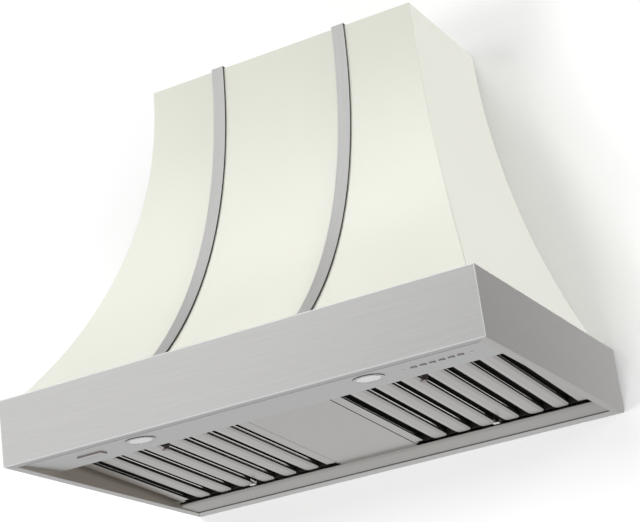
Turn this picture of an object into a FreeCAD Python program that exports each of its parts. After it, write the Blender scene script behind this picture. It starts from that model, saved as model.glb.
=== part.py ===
import FreeCAD, Part
import math
import os
import re
import Sketcher

# Wall hung range hood with a bell shaped canopy, in millimetres.
# X runs along the wall, +Y goes into the wall, +Z is up.
# The origin is on the wall plane, in the middle of the hood, level with its bottom lip.

SIZES = {
    # whole hood
    "hood_width": 914.4,
    "hood_depth": 656,
    "hood_height": 787,
    "top_width": 568,
    "top_depth": 303,
    "side_bow": 37.4,
    "front_bow": 76,
    # clearances and the overrun that cuts share
    "sheet_gap": 0.3,
    "running_gap": 0.05,
    "overrun": 20,
    # painted canopy
    "canopy_sheet": 1.2,
    "corner_seam": 0.8,
    "strap_width": 25.4,
    "strap_thickness": 4,
    "strap_return": 20,
    "strap_place": 141.7,
    "strap_lean": 0.6,
    # steel band round the foot of the canopy
    "band_height": 122,
    "band_inset": 22,
    "band_sheet": 1.5,
    "lip_width": 17,
    "rear_lip_width": 32,
    "ledge_width": 38,
    # wall holes in the back plate
    "wall_hole_radius": 4.5,
    "wall_hole_spread": 400,
    "wall_hole_rise": 300,
    "wall_hole_low": 250,
    "keyhole_spread": 260,
    "keyhole_drop": 67,
    "keyhole_head_radius": 8,
    "keyhole_slot_radius": 3.5,
    "keyhole_slot_length": 16,
    # steel liner on the underside
    "liner_sheet": 1,
    "liner_gap": 1.5,
    "lip_seam": 1,
    "panel_run": 123,
    "panel_rise": 10.5,
    "panel_lift": 3.5,
    "rail_run": 68,
    "rail_lift": 3,
    "rail_upstand": 14,
    "rail_lip": 6,
    # baffle filters
    "filter_slope": 3.27,
    "filter_front_gap": 5.2,
    "filter_drop": 3.8,
    "filter_height": 20,
    "filter_wall_gap": 10.2,
    "pivot_back": 104,
    "pivot_height": 14.2,
    "pivot_pin_radius": 2.5,
    "pivot_ear": 5,
    "pin_grip": 4,
    "centre_panel_half": 81,
    "centre_panel_rim": 18,
    "baffle_slot": 18,
    "slot_count": 7,
    "frame_flange": 19.3,
    "baffle_end_gap": 5,
    "baffle_finger": 8,
    "baffle_border": 8,
    "baffle_rise": 0.5,
    "baffle_edge": 4,
    "upper_baffle_overlap": 6.5,
    "upper_baffle_lift": 16,
    "upper_baffle_flange": 7.75,
    "upper_baffle_lip": 4.5,
    "tab_width": 12,
    "tab_hang": 9,
    "tab_foot": 9,
    "tab_sheet": 1.2,
    "tab_from_front": 70,
    "tab_rear": 25,
    "catch_width": 20,
    "catch_low": 35.7,
    "catch_height": 16,
    "catch_nose": 4.5,
    "catch_sheet": 0.5,
    # round lamps in the control panel
    "lamp_from_end": 220.2,
    "lamp_back": 53,
    "lamp_hole_radius": 24.5,
    "lamp_rim_radius": 27,
    "lamp_rim_drop": 1.4,
    "lamp_lens_radius": 21.5,
    "lamp_lens_thickness": 2,
    "lamp_lip": 1,
    "lamp_sleeve": 8,
    "lamp_body_radius": 31,
    "lamp_body_base": 10,
    "lamp_fin_pitch": 5,
    "lamp_fin_depth": 4,
    # push buttons
    "buttons_from_end": 100.4,
    "button_back": 59.6,
    "button_pitch": 16.6,
    "button_length": 10,
    "button_depth": 6.4,
    "button_proud": 1.8,
    "button_travel": 1.5,
    "button_flange": 1.4,
    "button_flange_sheet": 1,
    "button_stem": 4,
    "button_stem_reach": 5.5,
    "button_fit": 0.3,
    "guide_depth": 20,
    "guide_post": 13,
    "guide_height": 12,
    "guide_web": 2,
    "board_thickness": 1.6,
    "switch_side": 6,
    "switch_height": 2.4,
    "cover_height": 10,
    "cover_wall": 1.6,
    "screw_head_radius": 2.2,
    "screw_head_height": 1.1,
    "screw_radius": 1.4,
    "screw_reach": 8,
    "screw_spread": 121,
    # blank plate at the other end of the control panel
    "plate_from_end": 111.6,
    "plate_back": 65.5,
    "plate_length": 49.5,
    "plate_depth": 21,
    "plate_thickness": 2.6,
    # blower box and blower
    "box_width": 330,
    "box_front": 356,
    "box_rear": 24,
    "box_height": 292,
    "box_sheet": 1.2,
    "box_flange": 15,
    "scroll_width": 210,
    "scroll_sheet": 1.2,
    "scroll_start": 112,
    "scroll_step": 14,
    "scroll_clear": 26,
    "scroll_inlet_radius": 82,
    "wheel_radius": 96,
    "wheel_width": 184,
    "vane_depth": 17,
    "vane_sheet": 1,
    "vane_bow": 4,
    "vane_count": 36,
    "wheel_disc_sheet": 2,
    "wheel_ring": 4,
    "hub_radius": 14,
    "hub_length": 24,
    "shaft_radius": 4,
    "shaft_seat": 10,
    "motor_radius": 44,
    "motor_place": 20,
    "motor_groove": 3,
    "arm_disc_radius": 30,
    "arm_reach": 92,
    "arm_width": 18,
    "arm_sheet": 2.5,
    # duct, collar and back draught damper
    "duct_radius": 98.8,
    "duct_sheet": 0.8,
    "duct_overlap": 2,
    "duct_flange": 12,
    "collar_radius": 100,
    "collar_sheet": 0.8,
    "collar_above": 25,
    "collar_flange": 16,
    "collar_flange_sheet": 1.2,
    "flap_height": 7,
    "flap_gap": 1.7,
    "flap_sheet": 0.8,
    "damper_pin_radius": 2,
    "knuckle_radius": 3.4,
    "knuckle_length": 16,
    "knuckle_place": 60,
    "knuckle_gap": 2,
    "flap_clear": 1.2,
    "stop_length": 5,
    "stop_width": 14,
    "stop_sheet": 1.5,
    # electrical parts
    "junction_width": 110,
    "junction_depth": 80,
    "junction_height": 44,
    "junction_from_end": 100,
    "junction_rear": 30,
    "junction_entry_radius": 7,
    "driver_width": 130,
    "driver_depth": 44,
    "driver_height": 26,
    "driver_from_end": 110,
    "driver_rear": 60,
    "driver_ear": 12,
    "case_sheet": 1.2,
    "gland_place": 200,
    "gland_rear": 60,
    "gland_bore": 5,
    "gland_radius": 9,
    "gland_flange": 13,
    "gland_flange_height": 5,
    "gland_above": 16,
    "gland_below": 12,
    "gland_nut": 4,
}

# Places that follow from the sizes.
PLACES = {
    "foot_half": "hood_width/2 - band_inset",
    "foot_depth": "hood_depth - band_inset",
    "canopy_rise": "hood_height - band_height",
    "keyhole_height": "hood_height - keyhole_drop",
    "front_run": "foot_depth - top_depth",
    "front_chord": "sqrt(front_run^2 + canopy_rise^2)",
    "front_radius": "front_chord^2/(8*front_bow) + front_bow/2",
    "front_centre_y": "-(foot_depth + top_depth)/2 - canopy_rise/front_chord*(front_radius - front_bow)",
    "front_centre_z": "(hood_height + band_height)/2 + front_run/front_chord*(front_radius - front_bow)",
    "side_run": "foot_half - top_width/2",
    "side_chord": "sqrt(side_run^2 + canopy_rise^2)",
    "side_radius": "side_chord^2/(8*side_bow) + side_bow/2",
    "side_centre_x": "(foot_half + top_width/2)/2 + canopy_rise/side_chord*(side_radius - side_bow)",
    "side_centre_z": "(hood_height + band_height)/2 + side_run/side_chord*(side_radius - side_bow)",
    "band_inner": "hood_width/2 - band_sheet",
    "liner_half": "hood_width/2 - lip_width",
    "liner_top_z": "band_height - band_sheet - liner_gap",
    "panel_front": "-hood_depth + lip_width + lip_seam",
    "ridge_y": "panel_front + panel_run",
    "panel_slope": "(panel_rise - panel_lift)/panel_run",
    "panel_tilt": "atan(panel_slope)",
    "rail_front": "-(rear_lip_width + rail_run)",
    "filter_outer": "liner_half - filter_wall_gap",
    "filter_inner": "centre_panel_half + sheet_gap*5",
    "filter_middle": "(filter_outer + filter_inner)/2",
    "filter_half": "(filter_outer - filter_inner)/2",
    "baffle_pitch": "(2*filter_half - 2*frame_flange - baffle_slot)/(slot_count - 1)",
    "filter_length": "(-ridge_y - pivot_back - filter_front_gap)/cos(filter_slope)",
    "centre_panel_length": "(-ridge_y - pivot_back - 2*sheet_gap)/cos(filter_slope)",
    "tongue_drop": "pivot_height - rail_lift - rail_lip - pivot_ear*sin(filter_slope)",
    "tongue_reach": "tongue_drop/cos(filter_slope)",
    "tab_front": "filter_length - tab_from_front",
    "lower_baffle_width": "baffle_pitch - baffle_slot",
    "upper_baffle_width": "baffle_slot + 2*upper_baffle_overlap",
    "duct_y": "-top_depth/2",
    "box_top_z": "liner_top_z + box_height",
    "outlet_width": "scroll_start + 3*scroll_step",
    "wheel_y": "duct_y + scroll_step/2 - outlet_width/2",
    "wheel_z": "liner_top_z + scroll_clear + scroll_start + 1.5*scroll_step",
    "flap_z": "hood_height + flap_height",
    "flap_radius": "collar_radius - collar_sheet - flap_gap",
    "lamp_place": "liner_half - lamp_from_end",
    "button_middle": "liner_half - buttons_from_end",
    "plate_middle": "plate_from_end - liner_half",
    "junction_place": "liner_half - junction_from_end",
    "driver_place": "driver_from_end - liner_half",
    "guide_web_low": "liner_sheet + 5*button_fit + button_flange_sheet + button_travel",
    "guide_half": "screw_spread/2 + guide_post/2",
    "knuckle_clear": "knuckle_radius + flap_clear",
}

BUTTONS = ["power_button", "low_button", "medium_button", "high_button", "boost_button", "light_button"]

doc = FreeCAD.newDocument("range_hood")
sheet = doc.addObject("Spreadsheet::Sheet", "sizes")
for row, (alias, value) in enumerate(SIZES.items(), start=1):
    sheet.set(f"A{row}", alias)
    sheet.set(f"B{row}", str(value))
    sheet.setAlias(f"B{row}", alias)
doc.recompute()

nodes = {}


def formula(text):
    """Spell a formula out in cells of the sheet."""
    def spell(match):
        word = match.group(0)
        if word in PLACES:
            return "(" + formula(PLACES[word]) + ")"
        return "sizes." + word if word in SIZES else word
    return re.sub(r"[a-z]\w*", spell, text)


def measure(text):
    """The formula's number at the present sizes."""
    return float(sheet.evalExpression(formula(text)))


def bind(thing, **formulas):
    """Tie properties to formulas; a double underscore stands for a dot."""
    for name, text in formulas.items():
        thing.setExpression(name.replace("__", "."), formula(text))


def keep(name, thing):
    """Give the finished piece its label and list it for writing."""
    thing.Label = name
    nodes[name] = thing
    return thing


# Curved faces of the canopy

def front_y(height, inside="0"):
    """Y of the curved front at a height, a given distance inside its outer face."""
    return f"(front_centre_y + sqrt((front_radius + {inside})^2 - (front_centre_z - ({height}))^2))"


def side_x(height, inside="0"):
    """X of the curved right side at a height, a given distance inside its outer face."""
    return f"(side_centre_x - sqrt((side_radius + {inside})^2 - (side_centre_z - ({height}))^2))"


# Sketches and features

def new_body(name):
    """A body that will be one piece of the hood."""
    return keep(name, doc.addObject("PartDesign::Body", name))


def add_sketch(body, plane, loops, lift="0", base=None, tilt=None):
    """Closed loops on one of the body's own planes, lifted along its normal or tilted about X."""
    drawing = body.newObject("Sketcher::SketchObject", body.Name + "_outline")
    role = plane + "_Plane"
    drawing.AttachmentSupport = [(next(f for f in body.Origin.OriginFeatures if f.Role == role), "")]
    drawing.MapMode = "FlatFace"
    if tilt:
        turn = FreeCAD.Rotation(FreeCAD.Vector(1, 0, 0), 1)
        drawing.AttachmentOffset = FreeCAD.Placement(FreeCAD.Vector(), turn)
        bind(drawing, AttachmentOffset__Rotation__Angle=tilt)
    x, y, z = base or ("0", "0", lift)
    bind(drawing, AttachmentOffset__Base__x=x, AttachmentOffset__Base__y=y, AttachmentOffset__Base__z=z)
    for loop in loops:
        if loop[0] == "circle":
            add_circle(drawing, *loop[1:])
        else:
            add_loop(drawing, loop)
    return drawing


def pin_point(drawing, edge, end, x, y):
    """Hold one end of an edge at a place given by two formulas."""
    for kind, text in (("DistanceX", x), ("DistanceY", y)):
        rule = drawing.addConstraint(Sketcher.Constraint(kind, -1, 1, edge, end, measure(text)))
        drawing.setExpression(f"Constraints[{rule}]", formula(text))


def add_circle(drawing, x, y, radius):
    centre = FreeCAD.Vector(measure(x), measure(y), 0)
    edge = drawing.addGeometry(Part.Circle(centre, FreeCAD.Vector(0, 0, 1), measure(radius)), False)
    pin_point(drawing, edge, 3, x, y)
    rule = drawing.addConstraint(Sketcher.Constraint("Radius", edge, measure(radius)))
    drawing.setExpression(f"Constraints[{rule}]", formula(radius))


def arc_between(start, end, radius):
    """Arc of less than half a turn, bulging left of the way from start to end, or right if negative."""
    chord = end - start
    left = FreeCAD.Vector(-chord.y, chord.x, 0).normalize()
    reach = (radius**2 - (chord.Length / 2)**2)**0.5
    centre = (start + end) * 0.5 - left * (reach if radius > 0 else -reach)
    first, last = (end, start) if radius > 0 else (start, end)
    angles = [math.atan2(p.y - centre.y, p.x - centre.x) for p in (first, last)]
    circle = Part.Circle(centre, FreeCAD.Vector(0, 0, 1), abs(radius))
    return Part.ArcOfCircle(circle, angles[0], angles[1] + (2 * math.pi if angles[1] < angles[0] else 0))


def add_loop(drawing, corners):
    """A closed outline; a corner with a third entry is reached by an arc of that radius."""
    places = [FreeCAD.Vector(measure(c[0]), measure(c[1]), 0) for c in corners]
    ends = []
    for index, corner in enumerate(corners):
        start = places[index - 1]
        end = places[index]
        if len(corner) == 2:
            edge = drawing.addGeometry(Part.LineSegment(start, end), False)
            ends.append((edge, 1, 2))
            continue
        radius = measure(corner[2])
        edge = drawing.addGeometry(arc_between(start, end, radius), False)
        ends.append((edge, 2, 1) if radius > 0 else (edge, 1, 2))
        rule = drawing.addConstraint(Sketcher.Constraint("Radius", edge, abs(radius)))
        drawing.setExpression(f"Constraints[{rule}]", "abs(" + formula(corner[2]) + ")")
    for index, corner in enumerate(corners):
        edge, _, last = ends[index]
        following, first, _ = ends[(index + 1) % len(corners)]
        drawing.addConstraint(Sketcher.Constraint("Coincident", edge, last, following, first))
        pin_point(drawing, edge, last, corner[0], corner[1])


def rectangle(x_low, x_high, y_low, y_high):
    return [(x_low, y_low), (x_high, y_low), (x_high, y_high), (x_low, y_high)]


def around(length, middle="0"):
    """Both ends of a length that lies evenly about its middle."""
    return (f"{middle} - ({length})/2", f"{middle} + ({length})/2")


def span(side, near, far):
    """Both ends of a reach along X, on the right for side 1 and on the left for side -1."""
    return (near, far) if side > 0 else (f"-({far})", f"-({near})")


def mirrored(loop):
    """The loop on the other side of the sketch's upright axis."""
    if loop[0] == "circle":
        return ("circle", f"-({loop[1]})", *loop[2:])
    turned = []
    for index, corner in enumerate(reversed(loop)):
        onward = loop[-index] if index else loop[0]
        bend = (onward[2],) if len(onward) == 3 else ()
        turned.append((f"-({corner[0]})", corner[1], *bend))
    return turned


def on_side(loop, side):
    """The loop as drawn for the right, or mirrored for the left."""
    return loop if side > 0 else mirrored(loop)


def pad(body, drawing, length, symmetric=False, backwards=False):
    """Thicken a drawing into the body."""
    feature = body.newObject("PartDesign::Pad", body.Name + "_pad")
    feature.Profile = drawing
    bind(feature, Length=length)
    feature.SideType = "Symmetric" if symmetric else "One side"
    feature.Reversed = backwards
    drawing.Visibility = False
    return feature


def pocket(body, drawing, length, symmetric=False, backwards=False):
    """Cut a drawing out of the body and make sure that it did cut."""
    doc.recompute()
    before = body.Shape.Volume
    feature = body.newObject("PartDesign::Pocket", body.Name + "_pocket")
    feature.Profile = drawing
    bind(feature, Length=length)
    feature.SideType = "Symmetric" if symmetric else "One side"
    feature.Reversed = backwards
    drawing.Visibility = False
    doc.recompute()
    if body.Shape.Volume >= before:
        raise RuntimeError(f"a pocket in {body.Label} cuts nothing")
    return feature


def turned_body(name, profile):
    """A body turned about its own Z axis from a half profile."""
    body = new_body(name)
    drawing = add_sketch(body, "XZ", [profile])
    feature = body.newObject("PartDesign::Revolution", name + "_turning")
    feature.Profile = drawing
    feature.ReferenceAxis = (drawing, ["V_Axis"])
    drawing.Visibility = False
    return body


def origin_axis(body, role):
    return (next(f for f in body.Origin.OriginFeatures if f.Role == role), [""])


def repeat_along(body, features, count, pitch):
    """Repeat features along X as separate solids of one piece."""
    pattern = body.newObject("PartDesign::LinearPattern", body.Name + "_row")
    pattern.Originals = features
    pattern.Direction = origin_axis(body, "X_Axis")
    pattern.Mode = "Spacing"
    bind(pattern, Offset=pitch)
    pattern.Occurrences = count
    body.Tip = pattern


def repeat_round(body, features, count):
    """Repeat features round the body's Z axis."""
    pattern = body.newObject("PartDesign::PolarPattern", body.Name + "_round")
    pattern.Originals = features
    pattern.Axis = origin_axis(body, "Z_Axis")
    pattern.Occurrences = count
    body.Tip = pattern


def place(thing, x="0", y="0", z="0", angle=None, axis=(1, 0, 0)):
    """Move a finished piece, with an optional turn about an axis."""
    if angle:
        thing.Placement = FreeCAD.Placement(FreeCAD.Vector(), FreeCAD.Rotation(FreeCAD.Vector(*axis), 1))
        bind(thing, Placement__Rotation__Angle=angle)
    bind(thing, Placement__Base__x=x, Placement__Base__y=y, Placement__Base__z=z)
    return thing


def on_panel(thing, x, back):
    """Set a piece on the tilted control panel, a distance back from its front edge."""
    y = f"panel_front + {back}*cos(panel_tilt)"
    return place(thing, x, y, f"panel_lift + {back}*sin(panel_tilt)", "panel_tilt")


def at_wheel(thing):
    """Turn a piece's Z axis along X and set it on the axis of the blower."""
    return place(thing, "0", "wheel_y", "wheel_z", "90", (0, 1, 0))


def in_filter(thing, x="0"):
    """Put a piece in a filter's own frame, which turns on the rear pivots."""
    return place(thing, x, "-pivot_back", "pivot_height", "-filter_slope")


# Plain solids

def block(x, y, z):
    """A box between pairs of formulas."""
    solid = doc.addObject("Part::Box", "block")
    bind(solid, Length=f"{x[1]} - ({x[0]})", Width=f"{y[1]} - ({y[0]})", Height=f"{z[1]} - ({z[0]})")
    bind(solid, Placement__Base__x=x[0], Placement__Base__y=y[0], Placement__Base__z=z[0])
    return solid


def rod(radius, low, high, x="0", y="0", along="Z"):
    """A cylinder from low to high along X or Z; x and y are its place across that axis."""
    solid = doc.addObject("Part::Cylinder", "rod")
    bind(solid, Radius=radius, Height=f"{high} - ({low})")
    if along == "X":
        solid.Placement = FreeCAD.Placement(FreeCAD.Vector(), FreeCAD.Rotation(FreeCAD.Vector(0, 1, 0), 90))
        bind(solid, Placement__Base__x=low, Placement__Base__y=x, Placement__Base__z=y)
    else:
        bind(solid, Placement__Base__x=x, Placement__Base__y=y, Placement__Base__z=low)
    return solid


def join(*solids):
    whole = doc.addObject("Part::MultiFuse", "join")
    whole.Shapes = list(solids)
    return whole


def cut(solid, *tools):
    for tool in tools:
        rest = doc.addObject("Part::Cut", "cut")
        rest.Base = solid
        rest.Tool = tool
        solid = rest
    return solid


def group(*solids):
    """Separate solids that share one node."""
    whole = doc.addObject("Part::Compound", "group")
    whole.Links = list(solids)
    return whole


# Canopy

def make_canopy_front():
    """Painted front, bent to one arc and trimmed to the curve of the two sides."""
    body = new_body("canopy_front")
    profile = [
        (front_y("band_height"), "band_height"),
        (front_y("hood_height"), "hood_height", "-front_radius"),
        (front_y("hood_height", "canopy_sheet"), "hood_height"),
        (front_y("band_height", "canopy_sheet"), "band_height", "front_radius + canopy_sheet"),
    ]
    pad(body, add_sketch(body, "YZ", [profile]), "2*foot_half", symmetric=True)
    waste = [
        ("foot_half", "band_height"),
        ("top_width/2", "hood_height", "side_radius"),
        ("top_width/2", "hood_height + overrun"),
        ("foot_half + overrun", "hood_height + overrun"),
        ("foot_half + overrun", "band_height - overrun"),
        ("foot_half", "band_height - overrun"),
    ]
    pocket(body, add_sketch(body, "XZ", [waste, mirrored(waste)]), "2*hood_depth", symmetric=True)


def make_canopy_side(name, side):
    """Painted side, bent to its own arc and trimmed to lie behind the front."""
    body = new_body(name)
    strip = [
        (side_x("band_height"), "band_height"),
        (side_x("hood_height"), "hood_height", "side_radius"),
        (side_x("hood_height", "canopy_sheet"), "hood_height"),
        (side_x("band_height", "canopy_sheet"), "band_height", "-(side_radius + canopy_sheet)"),
    ]
    pad(body, add_sketch(body, "XZ", [on_side(strip, side)]), "foot_depth")
    behind = "canopy_sheet + corner_seam"
    waste = [
        (front_y("band_height", behind), "band_height"),
        (front_y("hood_height", behind), "hood_height", f"-(front_radius + {behind})"),
        (front_y("hood_height", behind), "hood_height + overrun"),
        ("-hood_depth - overrun", "hood_height + overrun"),
        ("-hood_depth - overrun", "band_height - overrun"),
        (front_y("band_height", behind), "band_height - overrun"),
    ]
    pocket(body, add_sketch(body, "YZ", [waste]), "2*hood_width", symmetric=True)


def make_strap(name, side):
    """Brushed steel strap up the curved front, leaning inwards and folded over the top."""
    body = new_body(name)
    foot = "band_height + sheet_gap"
    face = front_y("hood_height", "-strap_thickness")
    under = front_y("hood_height", "-sheet_gap")
    back = front_y("hood_height") + " + strap_return"
    rest = "hood_height + sheet_gap"
    crown = "hood_height + strap_thickness"
    profile = [
        (front_y(foot, "-strap_thickness"), foot),
        (face, "hood_height", "-(front_radius - strap_thickness)"),
        (face, crown),
        (back, crown),
        (back, rest),
        (under, rest),
        (under, "hood_height"),
        (front_y(foot, "-sheet_gap"), foot, "front_radius - sheet_gap"),
    ]
    pad(body, add_sketch(body, "YZ", [profile]), "strap_width", symmetric=True)
    place(body, f"{side}*strap_place", angle=f"{-side}*strap_lean", axis=(0, 1, 0))


def make_canopy_top():
    """Flat top with round holes for the duct collar and the cable gland."""
    body = new_body("canopy_top")
    half = side_x("hood_height - canopy_sheet", "canopy_sheet + sheet_gap")
    front = front_y("hood_height", "canopy_sheet + sheet_gap")
    outline = rectangle(f"-{half}", half, front, "-(canopy_sheet + sheet_gap)")
    collar_hole = ("circle", "0", "duct_y", "collar_radius + sheet_gap")
    gland_hole = ("circle", "gland_place", "-gland_rear", "gland_radius + sheet_gap")
    drawing = add_sketch(body, "XY", [outline, collar_hole, gland_hole], "hood_height - canopy_sheet")
    pad(body, drawing, "canopy_sheet")


def make_back_plate():
    """Plate on the wall behind the canopy, with four bolt holes and two keyholes."""
    body = new_body("back_plate")
    inset = "canopy_sheet + sheet_gap"
    low = side_x("band_height", inset)
    high = side_x("hood_height", inset)
    outline = [
        (f"-{low}", "band_height", f"side_radius + {inset}"),
        (low, "band_height"),
        (high, "hood_height", f"side_radius + {inset}"),
        (f"-{high}", "hood_height"),
    ]
    holes = []
    for side in (-1, 1):
        for height in ("wall_hole_low", "wall_hole_low + wall_hole_rise"):
            holes.append(("circle", f"{side}*wall_hole_spread/2", height, "wall_hole_radius"))
    pad(body, add_sketch(body, "XZ", [outline, *holes]), "canopy_sheet")
    heads = []
    slots = []
    for side in (-1, 1):
        middle = f"{side}*keyhole_spread/2"
        heads.append(("circle", middle, "keyhole_height", "keyhole_head_radius"))
        left = f"{middle} - keyhole_slot_radius"
        right = f"{middle} + keyhole_slot_radius"
        slots.append(rectangle(left, right, "keyhole_height", "keyhole_height + keyhole_slot_length"))
    for loops in (heads, slots):
        pocket(body, add_sketch(body, "XZ", loops), "overrun", symmetric=True)


# Band

def lip_front(width):
    """Inward flange of the front of the band, mitred at both corners."""
    return [
        ("-hood_width/2", "-hood_depth"),
        ("hood_width/2", "-hood_depth"),
        (f"hood_width/2 - {width}", f"-hood_depth + {width}"),
        (f"-hood_width/2 + {width}", f"-hood_depth + {width}"),
    ]


def make_band_front():
    """Front of the band: an upright face with a lip below and a ledge above."""
    body = new_body("band_front")
    face = rectangle("-hood_width/2", "hood_width/2", "-hood_depth", "-hood_depth + band_sheet")
    pad(body, add_sketch(body, "XY", [face]), "band_height")
    pad(body, add_sketch(body, "XY", [lip_front("lip_width")]), "band_sheet")
    ledge = add_sketch(body, "XY", [lip_front("ledge_width")], "band_height - band_sheet")
    pad(body, ledge, "band_sheet")


def make_band_side(name, side):
    """Side of the band, butted behind the front, with mitred lip and ledge."""
    body = new_body(name)
    front = "-hood_depth + band_sheet"
    face = rectangle("band_inner", "hood_width/2", front, "0")
    lip = [
        ("hood_width/2", front),
        ("band_inner", front),
        ("liner_half", "-hood_depth + lip_width"),
        ("liner_half", "-rear_lip_width"),
        ("band_inner", "-band_sheet"),
        ("hood_width/2", "-band_sheet"),
    ]
    ledge = [
        ("hood_width/2", front),
        ("band_inner", front),
        ("hood_width/2 - ledge_width", "-hood_depth + ledge_width"),
        ("hood_width/2 - ledge_width", "-band_sheet"),
        ("hood_width/2", "-band_sheet"),
    ]
    pad(body, add_sketch(body, "XY", [on_side(face, side)]), "band_height")
    pad(body, add_sketch(body, "XY", [on_side(lip, side)]), "band_sheet")
    pad(body, add_sketch(body, "XY", [on_side(ledge, side)], "band_height - band_sheet"), "band_sheet")


def make_band_rear():
    """Rear of the band, flat on the wall, with the wide rear lip."""
    body = new_body("band_rear")
    face = rectangle("-band_inner", "band_inner", "-band_sheet", "0")
    lip = [
        ("-band_inner", "-band_sheet"),
        ("band_inner", "-band_sheet"),
        ("liner_half", "-rear_lip_width"),
        ("-liner_half", "-rear_lip_width"),
    ]
    pad(body, add_sketch(body, "XY", [face]), "band_height")
    pad(body, add_sketch(body, "XY", [lip]), "band_sheet")


# Liner

def button_step(index):
    """Distance of a button from the middle of the row."""
    return f"({index} - {(len(BUTTONS) - 1) / 2})*button_pitch"


def make_control_panel():
    """Sloped front of the liner with a hem and an upright rear wall, pierced for lamps and buttons."""
    body = new_body("control_panel")
    profile = [
        ("panel_front", "0"),
        ("panel_front + liner_sheet", "0"),
        ("panel_front + liner_sheet", "panel_lift + liner_sheet*panel_slope"),
        ("ridge_y", "panel_rise"),
        ("ridge_y", "liner_top_z"),
        ("ridge_y - liner_sheet", "liner_top_z"),
        ("ridge_y - liner_sheet", "panel_rise + liner_sheet - liner_sheet*panel_slope"),
        ("panel_front", "panel_lift + liner_sheet"),
    ]
    pad(body, add_sketch(body, "YZ", [profile]), "2*liner_half", symmetric=True)
    holes = [("circle", f"{side}*lamp_place", "lamp_back", "lamp_hole_radius") for side in (-1, 1)]
    for index in range(len(BUTTONS)):
        middle = f"button_middle + {button_step(index)}"
        x_ends = around("button_length + 2*button_fit", middle)
        holes.append(rectangle(*x_ends, *around("button_depth + 2*button_fit", "button_back")))
    for side in (-1, 1):
        middle = f"button_middle + {side}*screw_spread/2"
        holes.append(("circle", middle, "button_back", "screw_radius + sheet_gap"))
    drawing = add_sketch(body, "XY", holes, base=("0", "panel_front", "panel_lift"), tilt="panel_tilt")
    pocket(body, drawing, "overrun", symmetric=True)


def make_liner_side(name, side):
    """Upright side wall that stands on the lip, with the hole for a filter pivot."""
    body = new_body(name)
    wall = rectangle("-hood_depth + band_sheet", "-band_sheet", "band_sheet", "liner_top_z")
    pivot = ("circle", "-pivot_back", "pivot_height", "pivot_pin_radius + running_gap")
    inner_face = "liner_half" if side > 0 else "-liner_half - liner_sheet"
    pad(body, add_sketch(body, "YZ", [wall, pivot], inner_face), "liner_sheet")


def make_liner_top():
    """Roof of the liner, open below the blower box."""
    body = new_body("liner_top")
    reach = "liner_half + liner_sheet"
    outline = rectangle(f"-({reach})", reach, "ridge_y - liner_sheet", "-band_sheet")
    opening = rectangle(
        "-(box_width/2 - box_flange)", "box_width/2 - box_flange",
        "-(box_front - box_flange)", "-(box_rear + box_flange)")
    pad(body, add_sketch(body, "XY", [outline, opening], "liner_top_z"), "liner_sheet")


def make_grease_rail():
    """Shallow trough behind the filters, turned up at the front and at the wall, where grease collects."""
    body = new_body("grease_rail")
    profile = [
        ("rail_front", "rail_lift + rail_lip"),
        ("rail_front", "rail_lift"),
        ("-band_sheet", "rail_lift"),
        ("-band_sheet", "rail_lift + rail_upstand"),
        ("-band_sheet - liner_sheet", "rail_lift + rail_upstand"),
        ("-band_sheet - liner_sheet", "rail_lift + liner_sheet"),
        ("rail_front + liner_sheet", "rail_lift + liner_sheet"),
        ("rail_front + liner_sheet", "rail_lift + rail_lip"),
    ]
    pad(body, add_sketch(body, "YZ", [profile]), "2*liner_half", symmetric=True)


def make_centre_panel():
    """Plain panel between the filters, with upright rims that carry their inner pivots."""
    body = new_body("centre_panel")
    low = "-filter_drop"
    plate = rectangle("-centre_panel_half", "centre_panel_half", "-centre_panel_length", "pivot_ear")
    pad(body, add_sketch(body, "XY", [plate], low), "liner_sheet")
    inner = "centre_panel_half - liner_sheet"
    rim = rectangle(inner, "centre_panel_half", "-centre_panel_length", "pivot_ear")
    for side in (-1, 1):
        pad(body, add_sketch(body, "XY", [on_side(rim, side)], low), "centre_panel_rim")
    tongue = rectangle("-centre_panel_half", "centre_panel_half", "pivot_ear - liner_sheet", "pivot_ear")
    pad(body, add_sketch(body, "XY", [tongue], "-tongue_reach"), "tongue_reach - filter_drop + liner_sheet")
    pivot = ("circle", "0", "0", "pivot_pin_radius + running_gap")
    pocket(body, add_sketch(body, "YZ", [pivot]), "4*centre_panel_half", symmetric=True)
    in_filter(body)


# Baffle filters, each drawn about its own middle, with its pivot line on the X axis

def make_filter_frame(name, side):
    """Folded frame: flat flanges below, upright walls and a raised rear bar."""
    body = new_body(name)
    half = "filter_half"
    foot = [
        (f"-{half}", "-filter_length"),
        (half, "-filter_length"),
        (half, "-baffle_end_gap - baffle_finger"),
        (f"{half} - baffle_finger/2", "-baffle_end_gap"),
        (f"{half} - frame_flange + baffle_finger/2", "-baffle_end_gap"),
        (f"{half} - frame_flange", "-baffle_end_gap - baffle_finger"),
        (f"{half} - frame_flange", "-filter_length + frame_flange"),
    ]
    foot += [(f"-({x})", y) for x, y in reversed(foot[2:])]
    pad(body, add_sketch(body, "XY", [foot], "-filter_drop"), "liner_sheet")
    wall = [
        (f"-{half}", "-filter_length"),
        (half, "-filter_length"),
        (half, "pivot_ear"),
        (f"{half} - liner_sheet", "pivot_ear"),
        (f"{half} - liner_sheet", "-filter_length + liner_sheet"),
    ]
    wall += [(f"-({x})", y) for x, y in reversed(wall[2:])]
    pad(body, add_sketch(body, "XY", [wall], "-filter_drop"), "filter_height")
    bar = rectangle(f"-{half}", half, "-baffle_end_gap - liner_sheet", "-baffle_end_gap")
    rear = add_sketch(body, "XY", [bar], "-filter_drop + liner_sheet")
    pad(body, rear, "filter_height - liner_sheet")
    pivot = ("circle", "0", "0", "pivot_pin_radius + running_gap")
    pocket(body, add_sketch(body, "YZ", [pivot]), "4*filter_half", symmetric=True)
    in_filter(body, f"{side}*filter_middle")


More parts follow.
